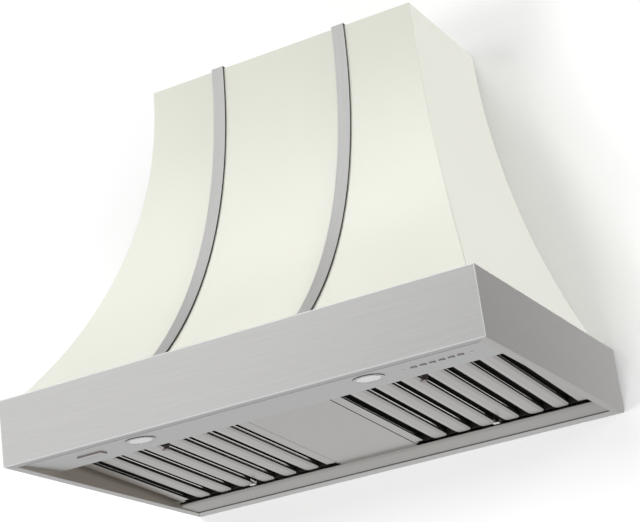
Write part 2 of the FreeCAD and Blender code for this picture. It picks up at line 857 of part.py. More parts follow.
def make_lower_baffles(name, side):
    """Six channels with sloped borders, upturned edges and tapered rear ends, seen from below."""
    body = new_body(name)
    middle = "-(slot_count - 2)/2*baffle_pitch"
    left = f"{middle} - lower_baffle_width/2"
    right = f"{middle} + lower_baffle_width/2"
    profile = [
        (left, "baffle_edge - filter_drop"),
        (left, "baffle_rise - filter_drop"),
        (f"{left} + baffle_border", "-filter_drop"),
        (f"{right} - baffle_border", "-filter_drop"),
        (right, "baffle_rise - filter_drop"),
        (right, "baffle_edge - filter_drop"),
        (f"{right} - liner_sheet", "baffle_edge - filter_drop"),
        (f"{right} - liner_sheet", "baffle_rise + liner_sheet - filter_drop"),
        (f"{right} - baffle_border", "liner_sheet - filter_drop"),
        (f"{left} + baffle_border", "liner_sheet - filter_drop"),
        (f"{left} + liner_sheet", "baffle_rise + liner_sheet - filter_drop"),
        (f"{left} + liner_sheet", "baffle_edge - filter_drop"),
    ]
    drawing = add_sketch(body, "XZ", [profile], "baffle_end_gap")
    channel = pad(body, drawing, "filter_length - frame_flange - baffle_end_gap")
    corners = []
    for edge, inward in ((left, 1), (right, -1)):
        outer = f"{edge} - {inward}*liner_sheet/2"
        inner = f"{edge} + {inward}*(baffle_finger + liner_sheet)/2"
        rear = "-baffle_end_gap + liner_sheet"
        front = "-baffle_end_gap - baffle_finger - liner_sheet"
        corners.append([(outer, rear), (outer, front), (inner, rear)])
    taper = pocket(body, add_sketch(body, "XY", corners), "2*filter_height", symmetric=True)
    repeat_along(body, [channel, taper], SIZES["slot_count"] - 1, "baffle_pitch")
    in_filter(body, f"{side}*filter_middle")


def upper_channel(middle, left_lip):
    """Section of a downturned channel with lips turned inwards; the first one has no left lip."""
    left = f"{middle} - upper_baffle_width/2"
    right = f"{middle} + upper_baffle_width/2"
    low = "upper_baffle_lift - filter_drop"
    foot = f"{low} - upper_baffle_flange"
    section = [
        (left, f"{low} + liner_sheet"),
        (right, f"{low} + liner_sheet"),
        (right, foot),
        (f"{right} - upper_baffle_lip", foot),
        (f"{right} - upper_baffle_lip", f"{foot} + liner_sheet"),
        (f"{right} - liner_sheet", f"{foot} + liner_sheet"),
        (f"{right} - liner_sheet", low),
        (f"{left} + liner_sheet", low),
    ]
    if left_lip:
        section += [
            (f"{left} + liner_sheet", f"{foot} + liner_sheet"),
            (f"{left} + upper_baffle_lip", f"{foot} + liner_sheet"),
            (f"{left} + upper_baffle_lip", foot),
        ]
    else:
        section.append((f"{left} + liner_sheet", foot))
    return section + [(left, foot)]


def make_upper_baffles(name, side):
    """Seven downturned channels that roof the slots between the lower ones."""
    body = new_body(name)
    length = "filter_length - baffle_end_gap - 2*liner_sheet"
    lift = "baffle_end_gap + liner_sheet"
    first = upper_channel("-(slot_count - 1)/2*baffle_pitch", left_lip=False)
    pad(body, add_sketch(body, "XZ", [first], lift), length)
    second = upper_channel("-(slot_count - 3)/2*baffle_pitch", left_lip=True)
    channel = pad(body, add_sketch(body, "XZ", [second], lift), length)
    repeat_along(body, [channel], SIZES["slot_count"] - 1, "baffle_pitch")
    in_filter(body, f"{side}*filter_middle")


def make_filter_fittings(name, side):
    """Riveted fittings: two handle tabs below, a pivot pin into the liner and one into the centre."""
    fittings = []
    low = "-filter_drop - tab_hang"
    width = around("tab_width")
    for spot in ("tab_front", "tab_rear"):
        wall = block(width, (f"-{spot}", f"-{spot} + tab_sheet"), (low, "upper_baffle_lift - filter_drop"))
        foot = block(width, (f"-{spot} - tab_foot", f"-{spot}"), (low, f"{low} + tab_sheet"))
        fittings.append(join(wall, foot))
    outer = span(side, "filter_half - pin_grip", "filter_half + filter_wall_gap + liner_sheet + sheet_gap")
    rim = "centre_panel_half - liner_sheet - filter_middle"
    inner = span(side, f"{rim} - sheet_gap", "-filter_half + pin_grip")
    for ends in (outer, inner):
        fittings.append(rod("pivot_pin_radius", *ends, along="X"))
    in_filter(keep(name, group(*fittings)), f"{side}*filter_middle")


def make_filter_catches():
    """Two bent leaf springs on the ridge wall that the fronts of the filters press against."""
    catches = []
    for side in (-1, 1):
        leaf = f"filter_catch_{'left' if side < 0 else 'right'}"
        body = doc.addObject("PartDesign::Body", leaf)
        profile = [
            ("ridge_y", "catch_low"),
            ("ridge_y + catch_sheet", "catch_low"),
            ("ridge_y + catch_nose", "catch_low + catch_height/2"),
            ("ridge_y + catch_sheet", "catch_low + catch_height"),
            ("ridge_y", "catch_low + catch_height"),
            ("ridge_y", "catch_low + catch_height - catch_sheet"),
            ("ridge_y + catch_nose - catch_sheet", "catch_low + catch_height/2"),
            ("ridge_y", "catch_low + catch_sheet"),
        ]
        pad(body, add_sketch(body, "YZ", [profile]), "catch_width", symmetric=True)
        place(body, f"{side}*filter_middle")
        catches.append(body)
    keep("filter_catches", group(*catches))


# Lamps

def make_lamp(name, side):
    """One lamp: rim below the panel, lens inside it and a finned body above."""
    sleeve = "lamp_hole_radius - sheet_gap"
    bore = "lamp_lens_radius + sheet_gap"
    mouth = "lamp_lens_radius - lamp_lip"
    rim = turned_body(f"{name}_rim", [
        (mouth, "-lamp_rim_drop"),
        ("lamp_rim_radius", "-lamp_rim_drop"),
        ("lamp_rim_radius", "0"),
        (sleeve, "0"),
        (sleeve, "lamp_sleeve"),
        (bore, "lamp_sleeve"),
        (bore, "-lamp_lip"),
        (mouth, "-lamp_lip"),
    ])
    disc = rod("lamp_lens_radius", "-lamp_lip", "lamp_lens_thickness - lamp_lip")
    lens = keep(f"{name}_lens", group(disc))
    fins = []
    for step in range(3):
        low = f"lamp_body_base + {step}*lamp_fin_pitch"
        fins += [
            ("lamp_body_radius", low),
            ("lamp_body_radius - lamp_fin_depth", low),
            ("lamp_body_radius - lamp_fin_depth", f"{low} + lamp_fin_pitch/2"),
            ("lamp_body_radius", f"{low} + lamp_fin_pitch/2"),
        ]
    top = "lamp_body_base + 3*lamp_fin_pitch"
    body = turned_body(f"{name}_body", [
        ("lamp_hole_radius + sheet_gap", "liner_sheet"),
        ("lamp_body_radius", "liner_sheet"),
        *fins,
        ("lamp_body_radius", top),
        ("0", top),
        ("0", "lamp_sleeve + lamp_lip"),
        ("lamp_hole_radius + sheet_gap", "lamp_sleeve + lamp_lip"),
    ])
    for piece in (rim, lens, body):
        on_panel(piece, f"{side}*lamp_place", "lamp_back")


# Push buttons

def make_button(name, index):
    """One push button: cap, retaining flange and stem."""
    top = "liner_sheet + button_fit"
    shoulder = f"{top} + button_flange_sheet"
    cap = block(around("button_length"), around("button_depth"), ("-button_proud", top))
    flange_length = around("button_length + 2*button_flange")
    flange_depth = around("button_depth + 2*button_flange")
    flange = block(flange_length, flange_depth, (top, shoulder))
    stem = rod("button_stem/2", shoulder, f"{shoulder} + button_stem_reach")
    on_panel(keep(name, join(cap, flange, stem)), f"button_middle + {button_step(index)}", "button_back")


def make_button_guide():
    """Moulding above the panel that keeps the buttons in line."""
    blank = block(around("2*guide_half"), around("guide_depth"), ("liner_sheet", "guide_height"))
    web_top = "guide_web_low + guide_web"
    well = block(
        around("2*guide_half - 2*guide_post"), around("guide_depth - 2*cover_wall"),
        (web_top, "guide_height + overrun"))
    tools = [well]
    for index in range(len(BUTTONS)):
        middle = button_step(index)
        tools.append(block(
            around("button_length + 2*button_flange + 2*button_fit", middle),
            around("button_depth + 2*button_flange + 2*button_fit"), ("0", "guide_web_low")))
        tools.append(rod("button_stem/2 + button_fit", "0", "guide_height", middle))
    for side in (-1, 1):
        tools.append(rod("screw_radius", "0", "screw_reach + sheet_gap", f"{side}*screw_spread/2"))
    on_panel(keep("button_guide", cut(blank, *tools)), "button_middle", "button_back")


def make_control_board():
    """Circuit board with one switch above each button."""
    inset = "2*cover_wall + 2*sheet_gap"
    board = block(
        around(f"2*guide_half - ({inset})"), around(f"guide_depth - ({inset})"),
        ("guide_height", "guide_height + board_thickness"))
    switches = [
        block(around("switch_side", button_step(index)), around("switch_side"),
              ("guide_height - switch_height", "guide_height"))
        for index in range(len(BUTTONS))
    ]
    on_panel(keep("control_board", join(board, *switches)), "button_middle", "button_back")


def make_control_cover():
    """Lid over the circuit board."""
    top = "guide_height + cover_height"
    shell = block(around("2*guide_half"), around("guide_depth"), ("guide_height", top))
    inside = block(
        around("2*guide_half - 2*cover_wall"), around("guide_depth - 2*cover_wall"),
        ("guide_height - overrun", f"{top} - cover_wall"))
    on_panel(keep("control_cover", cut(shell, inside)), "button_middle", "button_back")


def make_panel_screws():
    """Two screws that hold the button guide from below."""
    screws = []
    for side in (-1, 1):
        x = f"{side}*screw_spread/2"
        head = rod("screw_head_radius", "-screw_head_height", "0", x)
        screws.append(join(head, rod("screw_radius", "0", "screw_reach", x)))
    on_panel(keep("panel_screws", group(*screws)), "button_middle", "button_back")


def make_blank_plate():
    """Plain raised plate at the other end of the panel."""
    plate = block(around("plate_length"), around("plate_depth"), ("-plate_thickness", "0"))
    on_panel(keep("blank_plate", group(plate)), "plate_middle", "plate_back")


# Blower

def make_blower_box():
    """Sheet box on the liner roof, open below, with the duct hole in its top."""
    base = "liner_top_z + liner_sheet"
    shell = block(around("box_width"), ("-box_front", "-box_rear"), (base, "box_top_z"))
    flange = block(
        around("box_width + 2*box_flange"), ("-box_front - box_flange", "-box_rear + box_flange"),
        (base, f"{base} + box_sheet"))
    inside = block(
        around("box_width - 2*box_sheet"), ("-box_front + box_sheet", "-box_rear - box_sheet"),
        ("0", "box_top_z - box_sheet"))
    hole = rod("duct_radius - duct_sheet", "box_top_z - overrun", "box_top_z + overrun", "0", "duct_y")
    keep("blower_box", cut(join(shell, flange), inside, hole))


def scroll_outline(inset, top):
    """Spiral casing about the wheel, drawn with three growing arcs and an upward outlet."""
    low = "-scroll_step/2"
    high = "scroll_step/2"
    first = f"(scroll_start - {inset})"
    second = f"(scroll_start + scroll_step - {inset})"
    third = f"(scroll_start + 2*scroll_step - {inset})"
    return [
        (f"{low} + {inset}", top),
        (f"{low} + {inset}", f"{low} + {first}"),
        (low, f"{low} + {first}"),
        (f"{low} - {first}", low, f"-{first}"),
        (high, f"{low} - {second}", f"-{second}"),
        (f"{high} + {third}", high, f"-{third}"),
        (f"{high} + {third}", top),
    ]


def make_scroll_housing():
    """Spiral casing with an air inlet on each side and its outlet below the duct."""
    body = new_body("scroll_housing")
    base = ("wheel_y", "wheel_z", "0")
    top = "box_top_z - box_sheet - wheel_z"
    outer = scroll_outline("0", top)
    del outer[1]
    pad(body, add_sketch(body, "YZ", [outer], base=base), "scroll_width", symmetric=True)
    inner = scroll_outline("scroll_sheet", f"{top} + overrun")
    drawing = add_sketch(body, "YZ", [inner], base=base)
    pocket(body, drawing, "scroll_width - 2*scroll_sheet", symmetric=True)
    inlet = add_sketch(body, "YZ", [("circle", "0", "0", "scroll_inlet_radius")], base=base)
    pocket(body, inlet, "2*scroll_width", symmetric=True)


def make_wheel_disc():
    """Disc and hub in the middle of the wheel."""
    body = new_body("wheel_disc")
    disc = add_sketch(body, "XY", [("circle", "0", "0", "wheel_radius - vane_depth - sheet_gap")])
    pad(body, disc, "wheel_disc_sheet", symmetric=True)
    hub = add_sketch(body, "XY", [("circle", "0", "0", "hub_radius")])
    pad(body, hub, "hub_length", symmetric=True)
    bore = add_sketch(body, "XY", [("circle", "0", "0", "shaft_radius + running_gap")])
    pocket(body, bore, "2*hub_length", symmetric=True)
    at_wheel(body)


def make_wheel_vanes():
    """Curved vanes, each a separate strip between the two rings."""
    body = new_body("wheel_vanes")
    bend = "((vane_depth - vane_sheet)^2/(8*vane_bow) + vane_bow/2)"
    start = "wheel_radius - vane_depth + vane_sheet/2"
    end = "wheel_radius - vane_sheet/2"
    vane = [
        (start, "0"),
        (end, "0", f"-({bend} + vane_sheet/2)"),
        (end, "vane_sheet"),
        (start, "vane_sheet", f"{bend} - vane_sheet/2"),
    ]
    blade = pad(body, add_sketch(body, "XY", [vane]), "wheel_width - 2*wheel_ring", symmetric=True)
    repeat_round(body, [blade], SIZES["vane_count"])
    at_wheel(body)


def make_wheel_rings():
    """Rings at both ends of the vanes."""
    body = new_body("wheel_rings")
    ring = [("circle", "0", "0", "wheel_radius"), ("circle", "0", "0", "wheel_radius - vane_depth")]
    for low in ("-wheel_width/2", "wheel_width/2 - wheel_ring"):
        pad(body, add_sketch(body, "XY", ring, low), "wheel_ring")
    at_wheel(body)


def make_motor():
    """Grooved motor can that sits inside one half of the wheel."""
    length = "scroll_width/2 - motor_place"
    grooves = []
    for share in (1, 2, 3, 4):
        middle = f"motor_place + ({length})*{share}/5"
        grooves += [
            ("motor_radius", f"{middle} - motor_groove"),
            ("motor_radius - motor_groove", f"{middle} - motor_groove/2"),
            ("motor_radius - motor_groove", f"{middle} + motor_groove/2"),
            ("motor_radius", f"{middle} + motor_groove"),
        ]
    at_wheel(turned_body("motor", [
        ("0", "motor_place + shaft_seat"),
        ("shaft_radius + running_gap", "motor_place + shaft_seat"),
        ("shaft_radius + running_gap", "motor_place"),
        ("motor_radius", "motor_place"),
        *grooves,
        ("motor_radius", "scroll_width/2"),
        ("0", "scroll_width/2"),
    ]))


def make_motor_shaft():
    """Shaft from the motor through the hub of the wheel."""
    shaft = rod("shaft_radius", "-hub_length/2", "motor_place + shaft_seat - sheet_gap")
    at_wheel(keep("motor_shaft", group(shaft)))


def make_motor_bracket():
    """Three arms that carry the motor across one inlet."""
    body = new_body("motor_bracket")
    disc = add_sketch(body, "XY", [("circle", "0", "0", "arm_disc_radius")], "scroll_width/2")
    pad(body, disc, "arm_sheet")
    arm = rectangle("-arm_width/2", "arm_width/2", "0", "arm_reach")
    first_arm = pad(body, add_sketch(body, "XY", [arm], "scroll_width/2"), "arm_sheet")
    repeat_round(body, [first_arm], 3)
    at_wheel(body)


# Duct, collar and back draught damper

def make_duct_pipe():
    """Round pipe from the blower box up into the collar."""
    top = "hood_height + duct_overlap"
    pipe = turned_body("duct_pipe", [
        ("duct_radius - duct_sheet", "box_top_z"),
        ("duct_radius + duct_flange", "box_top_z"),
        ("duct_radius + duct_flange", "box_top_z + duct_sheet"),
        ("duct_radius", "box_top_z + duct_sheet"),
        ("duct_radius", top),
        ("duct_radius - duct_sheet", top),
    ])
    place(pipe, "0", "duct_y")


def make_duct_collar():
    """Round collar on the top, with a flange, two flap stops and holes for the pin."""
    inner = "collar_radius - collar_sheet"
    top = "hood_height + collar_above"
    flange_top = "hood_height + collar_flange_sheet"
    body = turned_body("duct_collar", [
        (inner, "hood_height"),
        ("collar_radius + collar_flange", "hood_height"),
        ("collar_radius + collar_flange", flange_top),
        ("collar_radius", flange_top),
        ("collar_radius", top),
        (inner, top),
    ])
    under_flap = "flap_z - flap_sheet/2 - sheet_gap - stop_sheet"
    for side in (-1, 1):
        near, far = span(side, f"{inner} - stop_length", f"{inner} + collar_sheet/2")
        stop = rectangle("-stop_width/2", "stop_width/2", near, far)
        pad(body, add_sketch(body, "XY", [stop], under_flap), "stop_sheet")
    pin_hole = ("circle", "0", "flap_z", "damper_pin_radius + running_gap")
    pocket(body, add_sketch(body, "YZ", [pin_hole]), "4*collar_radius", symmetric=True)
    place(body, "0", "duct_y")


def make_damper_flap(name, knuckle, turn):
    """Half round flap with two knuckles on the damper pin."""
    body = new_body(name)
    corner = "sqrt(flap_radius^2 - knuckle_clear^2)"
    half_disc = [
        (corner, "-knuckle_clear"),
        (f"-{corner}", "-knuckle_clear", "flap_radius"),
    ]
    pad(body, add_sketch(body, "XY", [half_disc]), "flap_sheet", symmetric=True)
    for side in (-1, 1):
        middle = f"{side}*({knuckle})"
        low, high = around("knuckle_length", middle)
        bridge = rectangle(low, high, "-knuckle_clear - flap_sheet", "-damper_pin_radius")
        pad(body, add_sketch(body, "XY", [bridge]), "flap_sheet", symmetric=True)
        barrel = add_sketch(body, "YZ", [("circle", "0", "0", "knuckle_radius")], middle)
        pad(body, barrel, "knuckle_length", symmetric=True)
    pin_hole = ("circle", "0", "0", "damper_pin_radius + running_gap")
    pocket(body, add_sketch(body, "YZ", [pin_hole]), "4*collar_radius", symmetric=True)
    place(body, "0", "duct_y", "flap_z", turn, (0, 0, 1))


def make_damper_pin():
    """Pin across the collar on which both flaps hang."""
    reach = "collar_radius - sheet_gap"
    keep("damper_pin", rod("damper_pin_radius", f"-({reach})", reach, "duct_y", "flap_z", along="X"))


# Electrical parts

def make_junction_box():
    """Steel box for the mains wires, with a lid that has one cable entry."""
    base = "liner_top_z + liner_sheet"
    top = f"{base} + junction_height"
    x = around("junction_width", "junction_place")
    y = ("-junction_rear - junction_depth", "-junction_rear")
    shell = block(x, y, (base, top))
    inside = block(
        around("junction_width - 2*case_sheet", "junction_place"),
        (f"{y[0]} + case_sheet", f"{y[1]} - case_sheet"), (f"{base} + case_sheet", f"{top} + overrun"))
    keep("junction_box", cut(shell, inside))
    middle = "-junction_rear - junction_depth/2"
    entry = rod("junction_entry_radius", base, f"{top} + overrun", "junction_place", middle)
    keep("junction_lid", cut(block(x, y, (top, f"{top} + case_sheet")), entry))


def make_led_driver():
    """Supply for the lamps, on two ears."""
    base = "liner_top_z + liner_sheet"
    y = ("-driver_rear - driver_depth", "-driver_rear")
    case = block(around("driver_width", "driver_place"), y, (base, f"{base} + driver_height"))
    ears = block(around("driver_width + 2*driver_ear", "driver_place"), y, (base, f"{base} + case_sheet"))
    keep("led_driver", join(case, ears))


def make_cable_gland():
    """Gland for the mains cable, with its nut below the top."""
    x = "gland_place"
    y = "-gland_rear"
    under = "hood_height - canopy_sheet"
    flange_top = "hood_height + gland_flange_height"
    sleeve = rod("gland_radius", "hood_height - gland_below", "hood_height + gland_above", x, y)
    flange = rod("gland_flange", "hood_height", flange_top, x, y)
    bore = rod("gland_bore", "hood_height - overrun", "hood_height + overrun", x, y)
    nut = rod("gland_flange", f"{under} - gland_nut", under, x, y)
    thread = rod("gland_radius", "hood_height - overrun", "hood_height + overrun", x, y)
    keep("cable_gland", group(cut(join(sleeve, flange), bore), cut(nut, thread)))


SIDES = {"left": -1, "right": 1}

make_canopy_front()
make_canopy_top()
make_back_plate()
make_band_front()
make_band_rear()
make_control_panel()
make_liner_top()
make_grease_rail()
make_centre_panel()
make_filter_catches()
for word, side in SIDES.items():
    make_canopy_side(f"canopy_side_{word}", side)
    make_strap(f"strap_{word}", side)
    make_band_side(f"band_side_{word}", side)
    make_liner_side(f"liner_side_{word}", side)
    make_filter_frame(f"filter_{word}_frame", side)
    make_lower_baffles(f"filter_{word}_lower_baffles", side)
    make_upper_baffles(f"filter_{word}_upper_baffles", side)
    make_filter_fittings(f"filter_{word}_fittings", side)
    make_lamp(f"lamp_{word}", side)
for index, name in enumerate(BUTTONS):
    make_button(name, index)
make_button_guide()
make_control_board()
make_control_cover()
make_panel_screws()
make_blank_plate()
make_blower_box()
make_scroll_housing()
make_wheel_disc()
make_wheel_vanes()
make_wheel_rings()
make_motor()
make_motor_shaft()
make_motor_bracket()
make_duct_pipe()
make_duct_collar()
make_damper_flap("damper_flap_front", "knuckle_place", "0")
make_damper_flap("damper_flap_rear", "knuckle_place - knuckle_length - knuckle_gap", "180")
make_damper_pin()
make_junction_box()
make_led_driver()
make_cable_gland()

doc.recompute()
for thing in doc.Objects:
    if {"Invalid", "Error"} & set(thing.State):
        raise RuntimeError(f"{thing.Name} failed: {thing.State}")
for name, thing in nodes.items():
    if thing.Shape.isNull() or not thing.Shape.isValid():
        raise RuntimeError(f"{name} has no valid shape")

os.makedirs("parts", exist_ok=True)
for name, thing in nodes.items():
    thing.Shape.exportStep(f"parts/{name}.step")
    print(name, len(thing.Shape.Solids), round(thing.Shape.Volume))
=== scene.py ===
# %% Load the construction model
import math

import bpy
import numpy as np
from mathutils import Matrix


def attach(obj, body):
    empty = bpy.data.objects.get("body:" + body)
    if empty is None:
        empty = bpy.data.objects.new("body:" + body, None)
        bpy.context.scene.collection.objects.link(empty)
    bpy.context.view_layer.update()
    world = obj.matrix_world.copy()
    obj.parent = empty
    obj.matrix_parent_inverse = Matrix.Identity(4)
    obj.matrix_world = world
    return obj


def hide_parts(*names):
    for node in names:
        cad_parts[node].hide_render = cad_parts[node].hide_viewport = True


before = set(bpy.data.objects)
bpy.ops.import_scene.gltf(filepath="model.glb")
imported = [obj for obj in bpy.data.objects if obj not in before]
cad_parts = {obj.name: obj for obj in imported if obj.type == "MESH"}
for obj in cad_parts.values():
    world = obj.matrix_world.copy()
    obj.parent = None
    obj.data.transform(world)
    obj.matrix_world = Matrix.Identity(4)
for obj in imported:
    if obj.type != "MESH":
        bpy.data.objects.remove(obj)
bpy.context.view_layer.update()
print("nodes in the frame:", len(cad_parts))

# %% [markdown]
# # A wall hood with a bell shaped canopy
# The frame above is the engineering model: every sheet, screw and joint is already in place, in metres.
# This lesson dresses it. Flat metal keeps its engineering mesh and only gets a finish, while curved or
# folded sheets that catch the light are made again as smooth surfaces in exactly the same place.

# %% Sizes that the new surfaces share with the model
HOOD_WIDTH = 0.9144
HOOD_DEPTH = 0.656
HOOD_HEIGHT = 0.787
TOP_WIDTH = 0.568
TOP_DEPTH = 0.303
SIDE_BOW = 0.0374
FRONT_BOW = 0.076
BAND_HEIGHT = 0.122
BAND_INSET = 0.022
CORNER_SEAM = 0.0008
PAINTED_SHEET = 0.0012
STEEL_SHEET = 0.0015
THIN_SHEET = 0.001
PAINTED_EDGE = 0.0004
STEEL_EDGE = 0.0003
THIN_EDGE = 0.0002
LEFT_AND_RIGHT = {"left": -1, "right": 1}
print("hood:", HOOD_WIDTH, "m wide,", HOOD_DEPTH, "m deep,", HOOD_HEIGHT, "m to the top of its canopy")

# %% [markdown]
# ## The photographer's place
# The picture was taken from below and a little to the right, with a long lens and the camera tipped.
# Its place was found by matching the corners of the hood, so it is given as a point and three angles.

# %% Camera
CAMERA_PLACE = (1.41423, -3.24871, -0.83332)
CAMERA_AZIMUTH = math.radians(25.178)
CAMERA_ELEVATION = math.radians(-19.81)
CAMERA_ROLL = math.radians(-7.769)
CAMERA_LENS = 105.37


def camera_axes(azimuth, elevation, roll):
    """Right, up and backward directions of a camera, each a unit vector."""
    level = math.cos(elevation)
    back = np.array([math.sin(azimuth) * level, -math.cos(azimuth) * level, math.sin(elevation)])
    right = np.cross([0, 0, 1], back)
    right /= np.linalg.norm(right)
    up = np.cross(back, right)
    tipped_right = math.cos(roll) * right + math.sin(roll) * up
    tipped_up = math.cos(roll) * up - math.sin(roll) * right
    return tipped_right, tipped_up, back


def make_camera():
    """The camera, turned so that its axes are the three directions above."""
    data = bpy.data.cameras.new("camera")
    data.lens = CAMERA_LENS
    camera = bpy.data.objects.new("camera", data)
    bpy.context.scene.collection.objects.link(camera)
    matrix = np.eye(4)
    matrix[:3, :3] = np.stack(camera_axes(CAMERA_AZIMUTH, CAMERA_ELEVATION, CAMERA_ROLL), axis=1)
    matrix[:3, 3] = CAMERA_PLACE
    camera.matrix_world = Matrix(matrix.tolist())
    return camera


bpy.context.scene.camera = make_camera()
bpy.context.scene.view_settings.view_transform = "Standard"
print("camera stands", round(float(np.linalg.norm(CAMERA_PLACE)), 2), "m from the origin")

# %% [markdown]
# ## Surfaces from arrays
# Every new piece is a grid of points worked out by a formula of two parameters. One function turns such
# a grid into a mesh, so that each piece only has to say where its points are.

# %% From a grid of points to a mesh
def grid_faces(rows, columns, wrapped=False, closed=False):
    """Four corners of every cell of a grid, counted row by row.

    wrapped joins the last column to the first, and closed joins the last row to the first.
    """
    last_row = rows if closed else rows - 1
    last_column = columns if wrapped else columns - 1
    row, column = np.meshgrid(np.arange(last_row), np.arange(last_column), indexing="ij")
    row = row.ravel()
    column = column.ravel()
    below = (row + 1) % rows
    onward = (column + 1) % columns
    near = row * columns
    far = below * columns
    return np.stack([near + column, near + onward, far + onward, far + column], axis=1)


def make_object(name, points, faces):
    """An object at the origin with these points and faces, shaded smooth up to sharp bends."""
    mesh = bpy.data.meshes.new(name)
    mesh.from_pydata(points.tolist(), [], faces)
    mesh.validate()
    mesh.update()
    mesh.shade_smooth()
    mesh.set_sharp_from_angle(angle=math.radians(35))
    piece = bpy.data.objects.new(name, mesh)
    bpy.context.scene.collection.objects.link(piece)
    return piece


def join_coordinates(x, y, z):
    """Points[..., xyz] from three arrays, which are first spread to one common shape."""
    return np.stack(np.broadcast_arrays(x, y, z), axis=-1)


def face_directions(points, faces):
    """A vector square to each face: the cross product of two of its edges."""
    first = points[faces[:, 1]] - points[faces[:, 0]]
    second = points[faces[:, 3]] - points[faces[:, 0]]
    return np.cross(first, second)


def make_grid(name, points, outward):
    """Sheets from points[sheet, row, column, xyz], their faces turned to look in the outward direction."""
    rows, columns = points.shape[-3:-1]
    flat = points.reshape(-1, 3)
    sheets = len(flat) // (rows * columns)
    faces = grid_faces(rows, columns)
    faces = np.concatenate([faces + sheet * rows * columns for sheet in range(sheets)])
    facing = face_directions(flat, faces) @ np.array(outward, float)
    if facing.sum() < 0:
        faces = faces[:, ::-1]
    return make_object(name, flat, faces.tolist())


def make_tube(name, rings):
    """A closed solid from rings[ring, point, xyz], with a flat cap on each end."""
    count, around = rings.shape[:2]
    faces = grid_faces(count, around, wrapped=True)
    flat = rings.reshape(-1, 3)
    from_middle = flat[faces].mean(axis=1) - flat.mean(axis=0)
    caps = [list(range(around))[::-1], list(range((count - 1) * around, count * around))]
    inside_out = (face_directions(flat, faces) * from_middle).sum() < 0
    if inside_out:
        faces = faces[:, ::-1]
        caps = [cap[::-1] for cap in caps]
    return make_object(name, flat, faces.tolist() + caps)


def make_hoop(name, rings):
    """A closed hoop from rings[ring, point, xyz], the last ring joined to the first."""
    flat = rings.reshape(-1, 3)
    faces = grid_faces(*rings.shape[:2], wrapped=True, closed=True)
    section_middle = np.repeat(rings.mean(axis=0)[None], len(rings), axis=0).reshape(-1, 3)
    from_middle = (flat - section_middle)[faces].mean(axis=1)
    inside_out = (face_directions(flat, faces) * from_middle).sum() < 0
    if inside_out:
        faces = faces[:, ::-1]
    return make_object(name, flat, faces.tolist())


def choose_finish(piece, rows, columns, sheets=1, last=None):
    """Give each row of faces one of the piece's finishes: rows holds the finish's number for every row.

    last is the number that the last face of every row takes instead.
    """
    index = np.zeros(len(piece.data.polygons), np.int32)
    chosen = np.repeat(np.array(rows, np.int32)[:, None], columns, axis=1)
    if last is not None:
        chosen[:, -1] = last
    chosen = np.tile(chosen.ravel(), sheets)
    index[:len(chosen)] = chosen
    piece.data.polygons.foreach_set("material_index", index)
    return piece


def thicken(piece, thickness, rounding, rim_finish=0, back_finish=0):
    """Give a sheet its thickness behind its outer face, and round its cut edges.

    rim_finish and back_finish say how many places further on in the piece's list of finishes the cut
    rim and the back find theirs.
    """
    wall = piece.modifiers.new("thickness", "SOLIDIFY")
    wall.thickness = thickness
    wall.offset = -1
    wall.material_offset_rim = rim_finish
    wall.material_offset = back_finish
    edge = piece.modifiers.new("rounded_edges", "BEVEL")
    edge.width = rounding
    edge.segments = 2
    edge.limit_method = "ANGLE"
    edge.angle_limit = math.radians(50)
    edge.harden_normals = True
    return piece


print("a grid of 3 x 4 points has", len(grid_faces(3, 4)), "faces")

# %% Lines with rounded corners
def rounded_line(corners, radius, steps=6):
    """Points of a bent line: each inner corner becomes a curve that starts and ends one radius from it.

    The curve is (1-t)^2 a + 2t(1-t) corner + t^2 b, with a and b on the two straight runs.
    """
    corners = np.array(corners, float)
    line = [corners[:1]]
    t = np.linspace(0, 1, steps)[:, None]
    for before, corner, after in zip(corners[:-2], corners[1:-1], corners[2:]):
        start = corner + (before - corner) / np.linalg.norm(before - corner) * radius
        end = corner + (after - corner) / np.linalg.norm(after - corner) * radius
        line.append((1 - t)**2 * start + 2 * t * (1 - t) * corner + t**2 * end)
    line.append(corners[-1:])
    return np.concatenate(line)


def rounded_box_ring(width, height, radius, steps=5):
    """Points round a rectangle with quarter circles for corners, in order, as (x, y) pairs."""
    angle = np.linspace(0, 2 * math.pi, 4 * steps, endpoint=False) + math.pi / 4 / steps
    x = radius * np.cos(angle) + np.sign(np.cos(angle)) * (width / 2 - radius)
    y = radius * np.sin(angle) + np.sign(np.sin(angle)) * (height / 2 - radius)
    return np.stack([x, y], axis=1)


print("an L with a rounded corner has", len(rounded_line([(0, 0), (1, 0), (1, 1)], 0.1)), "points")

# %% [markdown]
# ## Shared effects
# An effect that several finishes use is a node group: it takes a position and gives back a shade, a
# roughness and a height. The shader itself stays in each material, where the export can read it.

# %% Small helpers for nodes
EFFECT_OUTPUTS = ("Shade", "Roughness", "Height")


def add_node(tree, kind, settings=None, inputs=None):
    """One node with its settings, whose inputs are numbers or the outputs of other nodes."""
    node = tree.nodes.new(kind)
    for key, value in (settings or {}).items():
        setattr(node, key, value)
    for key, value in (inputs or {}).items():
        if isinstance(value, bpy.types.NodeSocket):
            tree.links.new(value, node.inputs[key])
        else:
            node.inputs[key].default_value = value
    return node


def new_effect(name, extra_inputs=()):
    """A node group that takes a vector and more, and gives shade, roughness and height."""
    group = bpy.data.node_groups.new(name, "ShaderNodeTree")
    group.interface.new_socket(name="Vector", in_out="INPUT", socket_type="NodeSocketVector")
    for label, value in extra_inputs:
        socket = group.interface.new_socket(name=label, in_out="INPUT", socket_type="NodeSocketFloat")
        socket.default_value = value
    for label in EFFECT_OUTPUTS:
        group.interface.new_socket(name=label, in_out="OUTPUT", socket_type="NodeSocketFloat")
    return group, group.nodes.new("NodeGroupInput").outputs, group.nodes.new("NodeGroupOutput").inputs


